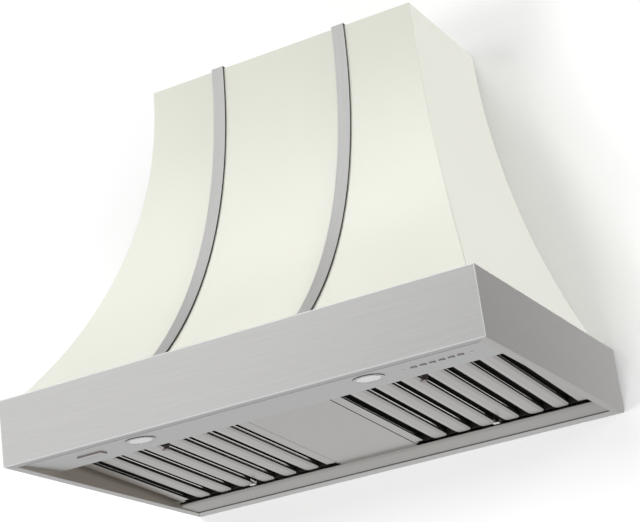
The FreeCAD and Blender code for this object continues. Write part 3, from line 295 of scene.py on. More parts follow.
def noise(tree, vector, scale, detail=3.0, roughness=0.5):
    """Cloudy pattern from 0 to 1, centred near a half."""
    settings = {"Vector": vector, "Scale": scale, "Detail": detail, "Roughness": roughness}
    return add_node(tree, "ShaderNodeTexNoise", inputs=settings).outputs[0]


def spread(tree, value, low, high):
    """Stretch a cloudy pattern so that its usual span runs from low to high."""
    settings = {"Value": value, "From Min": 0.3, "From Max": 0.7, "To Min": low, "To Max": high}
    return add_node(tree, "ShaderNodeMapRange", {"clamp": False}, settings).outputs[0]


def total(tree, first, second, kind="ADD"):
    """Two numbers added, or joined by another kind of sum."""
    return add_node(tree, "ShaderNodeMath", {"operation": kind}, {0: first, 1: second}).outputs[0]


print("an effect gives:", list(EFFECT_OUTPUTS))

# %% Brushed grain
def make_brushed_effect():
    """Hair lines of a belt sander: noise on a position that is stretched along the grain."""
    group, take, give = new_effect("brushed_grain", [("Roughness", 0.3), ("Depth", 1.0)])
    hair = noise(group, take["Vector"], 1.0, 4.0, 0.7)
    streak = noise(group, take["Vector"], 0.16, 2.0)
    shade = total(group, spread(group, hair, -0.035, 0.035), spread(group, streak, 0.97, 1.03))
    rough = total(group, spread(group, streak, -0.03, 0.03), take["Roughness"])
    height = total(group, total(group, hair, streak), take["Depth"], "MULTIPLY")
    group.links.new(shade, give["Shade"])
    group.links.new(rough, give["Roughness"])
    group.links.new(height, give["Height"])
    return group


BRUSHED = make_brushed_effect()
print("brushed grain:", len(BRUSHED.nodes), "nodes")

# %% Sprayed paint
def make_paint_effect():
    """Orange peel: low soft lumps a few millimetres across, with a slow drift of shade."""
    group, take, give = new_effect("sprayed_paint", [("Roughness", 0.3)])
    peel = noise(group, take["Vector"], 260.0, 2.0)
    drift = noise(group, take["Vector"], 5.0, 1.0)
    group.links.new(spread(group, drift, 0.99, 1.01), give["Shade"])
    rough = total(group, spread(group, drift, -0.03, 0.03), take["Roughness"])
    group.links.new(rough, give["Roughness"])
    group.links.new(peel, give["Height"])
    return group


PAINT = make_paint_effect()
print("sprayed paint:", len(PAINT.nodes), "nodes")

# %% Zinc spangle and moulded plastic
def make_zinc_effect():
    """Crystals of a zinc coat: cells about ten millimetres wide, each with its own shade."""
    group, take, give = new_effect("zinc_spangle", [("Roughness", 0.4)])
    cells = add_node(group, "ShaderNodeTexVoronoi", inputs={"Vector": take["Vector"], "Scale": 90.0})
    single = add_node(group, "ShaderNodeSeparateColor", inputs={0: cells.outputs["Color"]}).outputs[0]
    cloud = noise(group, take["Vector"], 14.0)
    shade = total(group, spread(group, single, 0.93, 1.0), spread(group, cloud, -0.03, 0.03))
    group.links.new(shade, give["Shade"])
    rough = total(group, spread(group, single, -0.05, 0.05), take["Roughness"])
    group.links.new(rough, give["Roughness"])
    group.links.new(noise(group, take["Vector"], 500.0), give["Height"])
    return group


def make_moulded_effect():
    """Spark eroded mould: fine even grit, with a faint cloud where the plastic cooled unevenly."""
    group, take, give = new_effect("moulded_grit", [("Roughness", 0.5)])
    grit = noise(group, take["Vector"], 1800.0, 2.0)
    cloud = noise(group, take["Vector"], 30.0)
    shade = total(group, spread(group, grit, -0.04, 0.04), spread(group, cloud, 0.96, 1.04))
    group.links.new(shade, give["Shade"])
    rough = total(group, spread(group, cloud, -0.06, 0.06), take["Roughness"])
    group.links.new(rough, give["Roughness"])
    group.links.new(grit, give["Height"])
    return group


ZINC = make_zinc_effect()
MOULDED = make_moulded_effect()
print("effects:", [group.name for group in bpy.data.node_groups])

# %% [markdown]
# ## Finishes
# A finish is one principled shader with an effect in front of it. The grain of brushed steel has to run
# along each sheet, so the same steel is made three times, stretched along X, Y or Z.

# %% One function for every finish
def make_finish(name, colour, effect, stretch, roughness, bump, metallic=0.0, coat=0.0):
    """A material whose colour, roughness and bump come from an effect on stretched object coordinates."""
    material = bpy.data.materials.new(name)
    material.use_nodes = True
    tree = material.node_tree
    shader = tree.nodes["Principled BSDF"]
    place = add_node(tree, "ShaderNodeTexCoord").outputs["Object"]
    mapped = add_node(tree, "ShaderNodeMapping", inputs={"Vector": place, "Scale": stretch})
    pattern = add_node(tree, "ShaderNodeGroup", {"node_tree": effect})
    pattern.inputs["Roughness"].default_value = roughness
    tree.links.new(mapped.outputs[0], pattern.inputs["Vector"])
    tint = add_node(tree, "ShaderNodeVectorMath", {"operation": "SCALE"}, {0: colour})
    tree.links.new(pattern.outputs["Shade"], tint.inputs["Scale"])
    tree.links.new(tint.outputs[0], shader.inputs["Base Color"])
    tree.links.new(pattern.outputs["Roughness"], shader.inputs["Roughness"])
    relief = add_node(tree, "ShaderNodeBump", inputs={"Distance": bump, "Strength": 0.6})
    tree.links.new(pattern.outputs["Height"], relief.inputs["Height"])
    tree.links.new(relief.outputs[0], shader.inputs["Normal"])
    shader.inputs["Metallic"].default_value = metallic
    shader.inputs["Coat Weight"].default_value = coat
    shader.inputs["Coat IOR"].default_value = 1.8
    shader.inputs["Coat Roughness"].default_value = 0.12
    return material


EVEN = (1, 1, 1)
GRAIN_X = (30, 1400, 1400)
GRAIN_Y = (1400, 30, 1400)
GRAIN_Z = (1400, 30, 30)
CROSSED = (300, 300, 300)
STEEL = (0.62, 0.615, 0.61)
WARM_STEEL = (0.6, 0.59, 0.575)

finishes = {
    "ivory_paint": make_finish("ivory_paint", (0.7, 0.704, 0.622), PAINT, EVEN, 0.34, 0.00003, coat=0.35),
    "steel_x": make_finish("steel_grain_x", STEEL, BRUSHED, GRAIN_X, 0.34, 0.00002, 1.0),
    "steel_y": make_finish("steel_grain_y", WARM_STEEL, BRUSHED, GRAIN_Y, 0.34, 0.00002, 1.0),
    "steel_z": make_finish("steel_grain_z", (0.58, 0.575, 0.57), BRUSHED, GRAIN_Z, 0.34, 0.00002, 1.0),
    "panel_steel": make_finish("panel_steel", (0.6, 0.612, 0.602), BRUSHED, GRAIN_X, 0.34, 0.00002, 1.0),
    "rail_steel": make_finish("rail_steel", (0.49, 0.475, 0.455), BRUSHED, GRAIN_X, 0.34, 0.00002, 1.0),
    # painted light and painted shade: lighter and darker copies of the grained steel for the baffles' two
    # borders
    "border_light": make_finish("border_light", (0.66, 0.65, 0.635), BRUSHED, GRAIN_Y, 0.34, 0.00002, 1.0),
    "border_dark": make_finish("border_dark", (0.5, 0.488, 0.472), BRUSHED, GRAIN_Y, 0.36, 0.00002, 1.0),
    # painted highlight: a brighter steel for the band's bends and ends
    "bend": make_finish("painted_highlight_bend", (0.85, 0.85, 0.845), BRUSHED, CROSSED, 0.3, 0.00001, 1.0),
    # painted shade: a darker copy of the band's steel for its downward lip
    "band_lip": make_finish("band_lip", (0.54, 0.525, 0.53), BRUSHED, GRAIN_X, 0.36, 0.00002, 1.0),
    # painted highlight: a near mirror steel, brighter than the rest, for the baffles' lips and the rear tabs
    "lip": make_finish("painted_highlight_lip_steel", (0.9, 0.885, 0.86), BRUSHED, GRAIN_Y, 0.03, 0.0000005, 1.0),
    # painted shade: a dark reddish steel for walls that look dark from shadow, on front tabs, button caps
    # and the blank cover
    "tab": make_finish("painted_shade_tab_steel", (0.3, 0.26, 0.25), BRUSHED, CROSSED, 0.45, 0.00001, 0.7),
    "inner": make_finish("inner_steel", (0.42, 0.375, 0.32), BRUSHED, GRAIN_Y, 0.45, 0.00001, 0.5),
    # painted shade: a near black steel put where there is only shadow, on sides, roofs and bars
    "shaded": make_finish("painted_shade_steel", (0.035, 0.033, 0.032), BRUSHED, CROSSED, 0.55, 0.00001, 0.6),
    "bright": make_finish("bright_steel", (0.72, 0.72, 0.72), BRUSHED, CROSSED, 0.16, 0.00001, 1.0),
    "zinc": make_finish("zinc_coated_sheet", (0.56, 0.57, 0.58), ZINC, EVEN, 0.42, 0.00002, 1.0),
    "cast": make_finish("cast_aluminium", (0.55, 0.55, 0.56), MOULDED, EVEN, 0.5, 0.00008, 1.0),
    "black": make_finish("black_plastic", (0.025, 0.025, 0.027), MOULDED, EVEN, 0.45, 0.00003),
    "grey": make_finish("grey_plastic", (0.3, 0.31, 0.32), MOULDED, EVEN, 0.5, 0.00003),
    "white": make_finish("white_plastic", (0.75, 0.75, 0.73), MOULDED, EVEN, 0.4, 0.00002),
    "board": make_finish("board_green", (0.03, 0.14, 0.07), MOULDED, EVEN, 0.3, 0.00002, coat=0.4),
    "motor": make_finish("motor_enamel", (0.05, 0.055, 0.06), PAINT, EVEN, 0.3, 0.00004, coat=0.3),
    "lens": make_finish("frosted_lens", (0.6, 0.61, 0.6), MOULDED, EVEN, 0.25, 0.00002, coat=0.5),
}
print("finishes:", len(finishes))


# %% Give the carried over nodes their finish
def dress(finish, *names):
    """Put one finish on carried over nodes."""
    for name in names:
        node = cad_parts[name]
        node.data.materials.clear()
        node.data.materials.append(finishes[finish])


BUTTONS = ("power", "low", "medium", "high", "boost", "light")

dress("ivory_paint", "canopy_front", "canopy_top", "canopy_side_left", "canopy_side_right")
dress("steel_z", "strap_left", "strap_right")
dress("steel_x", "band_front", "band_rear", "liner_top")
dress("panel_steel", "control_panel")
dress("rail_steel", "grease_rail")
dress("inner", "liner_side_left", "liner_side_right")
dress("steel_y", "band_side_left", "band_side_right", "centre_panel")
dress("zinc", "back_plate", "blower_box", "scroll_housing", "duct_pipe", "duct_collar")
dress("zinc", "damper_flap_front", "damper_flap_rear", "junction_box", "junction_lid", "motor_bracket")
dress("zinc", "wheel_disc", "wheel_vanes", "wheel_rings")
dress("bright", "filter_catches", "panel_screws", "damper_pin", "motor_shaft", "blank_plate")
dress("motor", "motor")
dress("black", "button_guide", "cable_gland")
dress("board", "control_board")
dress("grey", "control_cover")
dress("white", "led_driver")
for word in LEFT_AND_RIGHT:
    dress("steel_y", f"filter_{word}_frame", f"filter_{word}_lower_baffles", f"filter_{word}_upper_baffles")
    dress("tab", f"filter_{word}_fittings")
    dress("bright", f"lamp_{word}_rim")
    dress("lens", f"lamp_{word}_lens")
    dress("cast", f"lamp_{word}_body")
for word in BUTTONS:
    dress("bright", f"{word}_button")
print("nodes with a finish:", sum(len(node.data.materials) > 0 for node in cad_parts.values()))


# %% Give the new pieces theirs
def finish_piece(piece, finish, body, replaced):
    """Give a new piece its finish or finishes and its body, and hide the construction node that it stands
    for.
    """
    for name in finish.split():
        piece.data.materials.append(finishes[name])
    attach(piece, body)
    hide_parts(replaced)
    return piece


# %% [markdown]
# ## The painted canopy
# The front and both sides are sheets bent to one arc each, hollow side out, like a bell. A sheet like
# this is a surface of height and reach: at each height the arc gives how far it stands from the wall.

# %% Arcs of the canopy
FOOT_HALF = HOOD_WIDTH / 2 - BAND_INSET
FOOT_DEPTH = HOOD_DEPTH - BAND_INSET
CANOPY_RISE = HOOD_HEIGHT - BAND_HEIGHT


def bell_arc(foot, top, bow):
    """Centre and radius of the arc from (foot, band height) to (top, hood height) that bows inwards."""
    run = foot - top
    chord = math.hypot(run, CANOPY_RISE)
    radius = chord**2 / (8 * bow) + bow / 2
    reach = (foot + top) / 2 + CANOPY_RISE / chord * (radius - bow)
    height = (HOOD_HEIGHT + BAND_HEIGHT) / 2 + run / chord * (radius - bow)
    return reach, height, radius


FRONT_ARC = bell_arc(FOOT_DEPTH, TOP_DEPTH, FRONT_BOW)
SIDE_ARC = bell_arc(FOOT_HALF, TOP_WIDTH / 2, SIDE_BOW)


def bell_reach(arc, height, inside=0.0):
    """How far the arc stands from the wall or from the middle at a height: centre - sqrt(r^2 - dz^2)."""
    reach, middle, radius = arc
    return reach - np.sqrt((radius + inside)**2 - (middle - height)**2)


def canopy_front():
    """Front sheet: x = u * side reach, y = -front reach, for heights from band to top."""
    height = np.linspace(BAND_HEIGHT, HOOD_HEIGHT, 60)[:, None]
    share = np.linspace(-1, 1, 24)[None, :]
    x = share * bell_reach(SIDE_ARC, height)
    y = -bell_reach(FRONT_ARC, height)
    return make_grid("canopy_front_skin", join_coordinates(x, y, height), (0, -1, 0))


def canopy_side(word, side):
    """Side sheet: x = side reach, y from just behind the front sheet to the wall."""
    height = np.linspace(BAND_HEIGHT, HOOD_HEIGHT, 60)[:, None]
    share = np.linspace(0, 1, 20)[None, :]
    start = -bell_reach(FRONT_ARC, height, PAINTED_SHEET + CORNER_SEAM)
    x = side * bell_reach(SIDE_ARC, height)
    y = start * (1 - share)
    return make_grid(f"canopy_side_{word}_skin", join_coordinates(x, y, height), (side, 0, 0))


skin = thicken(canopy_front(), PAINTED_SHEET, PAINTED_EDGE)
finish_piece(skin, "ivory_paint", "hood", "canopy_front")
for word, side in LEFT_AND_RIGHT.items():
    skin = thicken(canopy_side(word, side), PAINTED_SHEET, PAINTED_EDGE)
    finish_piece(skin, "ivory_paint", "hood", f"canopy_side_{word}")
print("front arc radius", round(FRONT_ARC[2], 3), "m, side arc radius", round(SIDE_ARC[2], 3), "m")

# %% [markdown]
# ## The steel band
# The band is folded from flat sheet. What tells the eye that it is folded, and not sawn from a block,
# is the small radius along each bend, which draws a thin line of light; the bends and the ends of the
# front also get a brighter finish, a painted highlight along that line. So each side is a bent line
# carried sideways, and its ends are cut on a slant where two lips meet in a mitre.

# %% Folded sides of the band
LIP = 0.017
REAR_LIP = 0.032
LEDGE = 0.038
BEND = 0.0022
END_STRIP = 0.0016
ALONG = np.array([0, END_STRIP, *np.linspace(0.1, 0.9, 9), 1 - END_STRIP, 1])


def fold_sheet(name, start, end, outward):
    """A bent line carried straight from one place to another: point = start (1 - u) + end u.

    start and end each hold the x, y and z of every point of the line, as arrays or single numbers.
    The first and last strips of faces are narrow, so that an end can have a finish of its own.
    """
    start = join_coordinates(*start)[:, None, :]
    end = join_coordinates(*end)[:, None, :]
    share = ALONG[None, :, None]
    return make_grid(name, start * (1 - share) + end * share, outward)


def band_front():
    """Front of the band: lip, face and ledge, with both ends mitred over the lips."""
    front = -HOOD_DEPTH
    corners = [(front + LIP, 0), (front, 0), (front, BAND_HEIGHT), (front + LEDGE, BAND_HEIGHT)]
    y, z = rounded_line(corners, BEND).T
    reach = HOOD_WIDTH / 2 - (y - front)
    piece = fold_sheet("band_front_fold", (-reach, y, z), (reach, y, z), (0, -1, 0))
    # the bends and the front's ends take the brighter steel, a painted highlight, and the lip a darker
    # steel, a painted shade
    face, bend, lip = 0, 1, 2
    rows = [lip] + [bend] * 5 + [face] + [bend] * 5 + [face]
    return choose_finish(piece, rows, len(ALONG) - 1, last=bend)


def band_side(word, side):
    """Side of the band: it starts behind the front sheet and ends at the wall."""
    outer = HOOD_WIDTH / 2
    corners = [(outer - LIP, 0), (outer, 0), (outer, BAND_HEIGHT), (outer - LEDGE, BAND_HEIGHT)]
    x, z = rounded_line(corners, BEND).T
    front_end = -HOOD_DEPTH + np.maximum(outer - x, STEEL_SHEET)
    slant = np.where(z < BAND_HEIGHT / 2, (outer - x) / LIP * REAR_LIP, 0)
    rear_end = -np.maximum(slant, STEEL_SHEET)
    x = side * x
    return fold_sheet(f"band_side_{word}_fold", (x, front_end, z), (x, rear_end, z), (side, 0, 0))


def band_rear():
    """Rear of the band: flat on the wall, with the wide lip turned forward."""
    y, z = rounded_line([(-REAR_LIP, 0), (0, 0), (0, BAND_HEIGHT)], BEND).T
    inner = HOOD_WIDTH / 2 - STEEL_SHEET
    reach = inner - (LIP - STEEL_SHEET) * np.maximum(-y, 0) / REAR_LIP
    return fold_sheet("band_rear_fold", (-reach, y, z), (reach, y, z), (0, 1, 0))


fold = thicken(band_front(), STEEL_SHEET, STEEL_EDGE, rim_finish=1)
finish_piece(fold, "steel_x bend band_lip", "hood", "band_front")
fold = thicken(band_rear(), STEEL_SHEET, STEEL_EDGE)
finish_piece(fold, "steel_x", "hood", "band_rear")
for word, side in LEFT_AND_RIGHT.items():
    fold = thicken(band_side(word, side), STEEL_SHEET, STEEL_EDGE)
    finish_piece(fold, "steel_y", "hood", f"band_side_{word}")

# %% [markdown]
# ## The straps
# Two flat bars run up the curved front and fold over its top edge. They lean a little towards each
# other. Each is the front's own arc, moved out by the bar's thickness and carried along its width, and
# its sawn sides get a near black finish, a painted shade.

# %% Bars on the curved front
STRAP_WIDTH = 0.0254
STRAP_THICKNESS = 0.004
STRAP_RETURN = 0.02
STRAP_PLACE = 0.1417
STRAP_LEAN = math.radians(0.6)
STRAP_GAP = 0.0003
STRAP_EDGE = 0.0004
STRAP_BEND = 0.0012


def strap_line():
    """Side view of a strap's outer face: up the arc, round the top edge and back over the top."""
    height = np.linspace(BAND_HEIGHT + STRAP_GAP, HOOD_HEIGHT, 60)
    climb = np.stack([-bell_reach(FRONT_ARC, height, -STRAP_THICKNESS), height], axis=1)
    corner = (climb[-1, 0], HOOD_HEIGHT + STRAP_THICKNESS)
    end = (-bell_reach(FRONT_ARC, HOOD_HEIGHT) + STRAP_RETURN, corner[1])
    return np.concatenate([climb[:-1], rounded_line([climb[-1], corner, end], STRAP_BEND)])


def strap(word, side):
    """Strap face: x = place - z sin lean + across, with y and z from the side view."""
    line = strap_line()[:, None, :]
    across = np.linspace(-0.5, 0.5, 5)[None, :] * STRAP_WIDTH
    lean = math.sin(STRAP_LEAN)
    x = side * (STRAP_PLACE - line[..., 1] * lean) + across
    z = line[..., 1] + side * across * lean
    return make_grid(f"strap_{word}_bar", join_coordinates(x, line[..., 0], z), (0, -1, 0))


for word, side in LEFT_AND_RIGHT.items():
    # painted shade: the rims of the bars take the near black finish, for the shadow along their sides
    bar = thicken(strap(word, side), STRAP_THICKNESS - STRAP_GAP, STRAP_EDGE, rim_finish=1)
    finish_piece(bar, "steel_z shaded", "hood", f"strap_{word}")
strap_steps = np.linalg.norm(np.diff(strap_line(), axis=0), axis=1)
print("a strap is", round(float(strap_steps.sum()), 3), "m long")

# %% [markdown]
# ## The baffle filters
# A baffle is a strip folded into a channel. The lower ones show their flat backs with soft borders that
# turn up at their edges; the upturned edges are painted near black as shade, and the left and right
# borders a little lighter and darker, as painted light and shade. The upper ones roof the slots: their
# roofs and sides are painted near black as shade, and their turned in lips get a brighter steel, a
# painted highlight.
# Every channel of a filter is the same drawing moved along, so one array makes them all. A folded
# frame holds them on three sides, and an upright bar closes the rear.

# %% Places in a filter
FILTER_MIDDLE = 0.25625
FILTER_HALF = 0.17375
FILTER_LENGTH = 0.40646
FILTER_SLOPE = math.radians(3.27)
FILTER_DROP = 0.0038
PIVOT_BACK = 0.104
PIVOT_HEIGHT = 0.0142
FRAME_FLANGE = 0.0193
FRAME_HEIGHT = 0.02
BAFFLE_SLOT = 0.018
BAFFLE_END = 0.005
FINGER_LENGTH = 0.008
FINGER_TAPER = 0.004
SLOT_COUNT = 7
BAFFLE_PITCH = (2 * FILTER_HALF - 2 * FRAME_FLANGE - BAFFLE_SLOT) / (SLOT_COUNT - 1)


def in_filter(side, x, y, z):
    """Points of the room from places in a filter: y runs back along its slope, z stands square to it."""
    back = y * math.cos(FILTER_SLOPE) + z * math.sin(FILTER_SLOPE) - PIVOT_BACK
    high = z * math.cos(FILTER_SLOPE) - y * math.sin(FILTER_SLOPE) + PIVOT_HEIGHT
    return join_coordinates(side * FILTER_MIDDLE + x, back, high)


print("baffles: pitch", round(BAFFLE_PITCH * 1000, 2), "mm, slots", SLOT_COUNT, "in each filter")

# %% Filter frame
FRAME_BEND = 0.0012
PIVOT_EAR = 0.005


def frame_shell(word, side):
    """Folded frame: a bent line of (inward, up), from the wall's top round its foot to the flange's edge.

    The line is carried round three sides with mitred corners, so its four stations are the point's
    places at the rear left, front left, front right and rear right. The flange's rear ends are tapered.
    """
    inward, up = rounded_line([(0, FRAME_HEIGHT), (0, 0), (FRAME_FLANGE, 0)], FRAME_BEND).T
    from_edge = np.minimum(inward, FRAME_FLANGE - inward)
    taper = FINGER_LENGTH * np.clip(1 - from_edge / FINGER_TAPER, 0, 1)
    is_wall = up > FRAME_BEND + 0.0001
    rear = np.where(is_wall, PIVOT_EAR, -BAFFLE_END - taper)
    front = inward - FILTER_LENGTH
    across = FILTER_HALF - inward
    x = np.stack([-across, -across, across, across], axis=1)
    y = np.stack([rear, front, front, rear], axis=1)
    points = in_filter(side, x, y, up[:, None] - FILTER_DROP)
    piece = make_grid(f"filter_{word}_frame_shell", points, (0, 0, -1))
    return choose_finish(piece, is_wall[1:], 3)


def frame_bar(word, side):
    """Upright sheet that closes the rear of the filter between the frame's walls."""
    x = np.linspace(-FILTER_HALF + THIN_SHEET, FILTER_HALF - THIN_SHEET, 8)[None, :]
    z = np.linspace(THIN_SHEET, FRAME_HEIGHT, 4)[:, None] - FILTER_DROP
    return make_grid(f"filter_{word}_frame_bar", in_filter(side, x, -BAFFLE_END - THIN_SHEET, z), (0, -1, 0))


for word, side in LEFT_AND_RIGHT.items():
    shell = thicken(frame_shell(word, side), THIN_SHEET, THIN_EDGE)
    finish_piece(shell, "steel_y inner", f"filter_{word}", f"filter_{word}_frame")
    bar = thicken(frame_bar(word, side), THIN_SHEET, THIN_EDGE)
    # painted shade: the rear bar is near black
    finish_piece(bar, "shaded", f"filter_{word}", f"filter_{word}_frame")
print("filter length", FILTER_LENGTH, "m, flange", FRAME_FLANGE, "m")

# %% Lower baffles
BORDER_WIDTH = 0.008
BORDER_RISE = 0.0005
EDGE_START = 0.0011
EDGE_HEIGHT = 0.004
BAFFLE_BEND = 0.0012


def lower_section():
    """Section of one lower channel as (across, up): edge, border, flat back, border, edge."""
    half = (BAFFLE_PITCH - BAFFLE_SLOT) / 2
    flat = half - BORDER_WIDTH
    right = [(flat, 0), (half, BORDER_RISE), (half, EDGE_HEIGHT)]
    left = [(-across, up) for across, up in reversed(right)]
    return rounded_line(left + right, BAFFLE_BEND, 4)


def row_of_channels(side, section, count, y):
    """The same section drawn count times across a filter and carried along y."""
    middles = (np.arange(count) - (count - 1) / 2) * BAFFLE_PITCH
    return in_filter(side, middles[:, None, None] + section[..., 0], y, section[..., 1] - FILTER_DROP)


def lower_baffles(word, side):
    """Channels with their backs down, and with the rear ends drawn in like a finger tip."""
    section = lower_section()
    half = section[:, 0].max()
    rear = -BAFFLE_END - FINGER_LENGTH
    body = np.linspace(FRAME_FLANGE - FILTER_LENGTH, rear, 20)
    y = np.concatenate([body, np.linspace(rear, -BAFFLE_END, 4)[1:]])
    width = np.interp(y, [rear, -BAFFLE_END], [half, half - FINGER_TAPER])
    tapered = np.clip(section[:, 0, None], -width, width)
    lines = join_coordinates(tapered, section[:, 1, None], 0)
    points = row_of_channels(side, lines, SLOT_COUNT - 1, y)
    piece = make_grid(f"filter_{word}_lower_channels", points, (0, 0, -1))
    across, up = ((section[1:] + section[:-1]) / 2).T
    # painted shade and light: the upturned edges are near black, the left border lighter and the right
    # border darker
    back, edge, painted_light_left_border, painted_shade_right_border = 0, 1, 2, 3
    places = [up > EDGE_START, across < BORDER_WIDTH - half, across > half - BORDER_WIDTH]
    rows = np.select(places, [edge, painted_light_left_border, painted_shade_right_border], back)
    return choose_finish(piece, rows, len(y) - 1, SLOT_COUNT - 1)


print("a lower section has", len(lower_section()), "points")

# %% Upper baffles
ROOF_OVERLAP = 0.0065
ROOF_HEIGHT = 0.017
LIP_FOOT = 0.00825
LIP_WIDTH = 0.0017
LIP_RISE = 0.0027
LIP_BEND = 0.0004
LIP_ROWS = 3


def upper_baffles(word, side):
    """Channels turned over: roof undersides and sides painted near black as shade, and two lips curled in
    that face the cook, in a brighter steel that paints a highlight.

    The first channel of a filter rests against the frame, so its left lip is only a folded edge.
    """
    half = BAFFLE_SLOT / 2 + ROOF_OVERLAP
    right = [(half, ROOF_HEIGHT), (half, LIP_FOOT), (half - LIP_WIDTH, LIP_FOOT + LIP_RISE)]
    left = [(-across, up) for across, up in reversed(right)]
    section = rounded_line(left + right, LIP_BEND, 4)
    sections = np.repeat(section[None], SLOT_COUNT, axis=0)
    folded = np.array([-half, LIP_FOOT])
    sections[0, :LIP_ROWS] = folded + 0.1 * (sections[0, :LIP_ROWS] - folded)
    y = np.linspace(THIN_SHEET - FILTER_LENGTH, -BAFFLE_END - THIN_SHEET, 20)
    points = row_of_channels(side, sections[:, :, None], SLOT_COUNT, y)
    piece = make_grid(f"filter_{word}_upper_channels", points, (0, 0, 1))
    # the lips take the brighter steel, a painted highlight; the roof's underside and the sides take the near
    # black finish, a painted shade
    lip, roof, walls = 0, 1, 2
    rows = np.full(len(section) - 1, walls)
    rows[:LIP_ROWS] = lip
    rows[-LIP_ROWS:] = lip
    rows[LIP_ROWS + 2:-LIP_ROWS - 2] = roof
    return choose_finish(piece, rows, len(y) - 1, SLOT_COUNT)


for word, side in LEFT_AND_RIGHT.items():
    lower = thicken(lower_baffles(word, side), THIN_SHEET, THIN_EDGE)
    used = "steel_y shaded border_light border_dark"
    finish_piece(lower, used, f"filter_{word}", f"filter_{word}_lower_baffles")
    upper = thicken(upper_baffles(word, side), THIN_SHEET, THIN_EDGE, back_finish=1)
    finish_piece(upper, "lip steel_y shaded", f"filter_{word}", f"filter_{word}_upper_baffles")
print("the roofs reach", ROOF_OVERLAP * 1000, "mm past each slot")

# %% Handle tabs and pivot pins
TAB_HALF = 0.006
TAB_FOOT = 0.009
TAB_LOW = -0.0128
TAB_HIGH = 0.0122
TAB_ROUND = 0.003
TAB_BEND = 0.002
TAB_SHEET = 0.0012
TAB_PLACES = {"front": FILTER_LENGTH - 0.07, "rear": 0.025}
PIN_RADIUS = 0.0025
PIN_CHAMFER = 0.0005
PIN_ENDS = {"outer": (0.16975, 0.18525), "inner": (-0.17655, -0.16975)}


def handle_tab(name, side, place):
    """Strip bent to a foot: at a distance d from its round end it is as wide as a half circle allows."""
    tip = -place - TAB_FOOT
    upright = TAB_SHEET - place
    bent = rounded_line([(tip, TAB_LOW), (upright, TAB_LOW), (upright, TAB_HIGH)], TAB_BEND)
    start = np.linspace((tip, TAB_LOW), (tip + TAB_ROUND, TAB_LOW), 6)
    line = np.concatenate([start, bent[1:]])
    from_tip = np.minimum(line[:, 0] - tip, TAB_ROUND)
    half = TAB_HALF - TAB_ROUND + np.sqrt(TAB_ROUND**2 - (TAB_ROUND - from_tip)**2 + 1e-9)
    x = half[:, None] * np.linspace(-1, 1, 7)[None, :]
    return make_grid(name, in_filter(side, x, line[:, :1], line[:, 1:]), (0, 1, -1))


def pivot_pin(name, side, start, end):
    """Pin along X with chamfered ends: rings of y = r cos t, z = r sin t."""
    angle = np.linspace(0, 2 * math.pi, 24, endpoint=False)[None, :]
    profile = np.array([(start, 0.8), (start + PIN_CHAMFER, 1), (end - PIN_CHAMFER, 1), (end, 0.8)])
    x = side * profile[:, :1]
    radius = profile[:, 1:] * PIN_RADIUS
    return make_tube(name, in_filter(side, x, radius * np.cos(angle), radius * np.sin(angle)))


for word, side in LEFT_AND_RIGHT.items():
    for end, place in TAB_PLACES.items():
        tab = thicken(handle_tab(f"filter_{word}_tab_{end}", side, place), TAB_SHEET, THIN_EDGE)
        # front tabs take the dark steel, a painted shade; rear tabs take the bright lip steel, a painted
        # highlight
        metal = "tab" if end == "front" else "lip"
        finish_piece(tab, metal, f"filter_{word}", f"filter_{word}_fittings")
    for spot, ends in PIN_ENDS.items():
        pin = pivot_pin(f"filter_{word}_pin_{spot}", side, *ends)
        finish_piece(pin, "bright", f"filter_{word}", f"filter_{word}_fittings")
print("handle tabs stand", round(TAB_PLACES["front"] - TAB_PLACES["rear"], 3), "m apart")

# %% [markdown]
# ## The grease rail
# Behind the filters lies a trough that catches what drips from them. It has a softly rolled front, a
# floor that falls a little towards the wall, and an upstand there. It is one bent line carried sideways.

# %% Rolled trough
RAIL_FRONT = -0.1
RAIL_REAR = -0.0015
RAIL_FRONT_TOP = 0.009
RAIL_REAR_TOP = 0.017
RAIL_FLOOR = 0.003
RAIL_FALL = 0.001
RAIL_LEVEL_FROM = -0.034
RAIL_FRONT_BEND = 0.0055
RAIL_REAR_BEND = 0.002


def grease_rail():
    """The bent line of y and z, carried along X from one liner wall to the other."""
    low = RAIL_FLOOR - RAIL_FALL
    front_part = [(RAIL_FRONT, RAIL_FRONT_TOP), (RAIL_FRONT, RAIL_FLOOR), (RAIL_LEVEL_FROM, low)]
    rear_part = [(RAIL_LEVEL_FROM, low), (RAIL_REAR, low), (RAIL_REAR, RAIL_REAR_TOP)]
    rolled = rounded_line(front_part, RAIL_FRONT_BEND, 8)
    y, z = np.concatenate([rolled[:-1], rounded_line(rear_part, RAIL_REAR_BEND)]).T
    reach = HOOD_WIDTH / 2 - LIP
    return fold_sheet("grease_rail_trough", (-reach, y, z), (reach, y, z), (0, 0, -1))


finish_piece(thicken(grease_rail(), THIN_SHEET, THIN_EDGE), "rail_steel", "hood", "grease_rail")
print("the rail is", RAIL_REAR - RAIL_FRONT, "m deep and its floor falls", RAIL_FALL, "m")

# %% [markdown]
# ## Things set into the panel
# The panel slopes up to a ridge, and lamps, buttons and a blank plate are set square to it. One function
# turns a flat drawing on the panel into points of the room, so each piece is drawn as if it lay flat.

# %% Places on the panel
PANEL_FRONT = -HOOD_DEPTH + LIP + 0.001
PANEL_RUN = 0.123
PANEL_LIFT = 0.0035
PANEL_RISE = 0.0105
PANEL_TILT = math.atan((PANEL_RISE - PANEL_LIFT) / PANEL_RUN)
LINER_HALF = HOOD_WIDTH / 2 - LIP


def on_panel(x, back, up):
    """Points of the room from places on the panel: back runs up its slope, up stands square to it."""
    y = PANEL_FRONT + back * math.cos(PANEL_TILT) - up * math.sin(PANEL_TILT)
    z = PANEL_LIFT + back * math.sin(PANEL_TILT) + up * math.cos(PANEL_TILT)
    return join_coordinates(x, y, z)


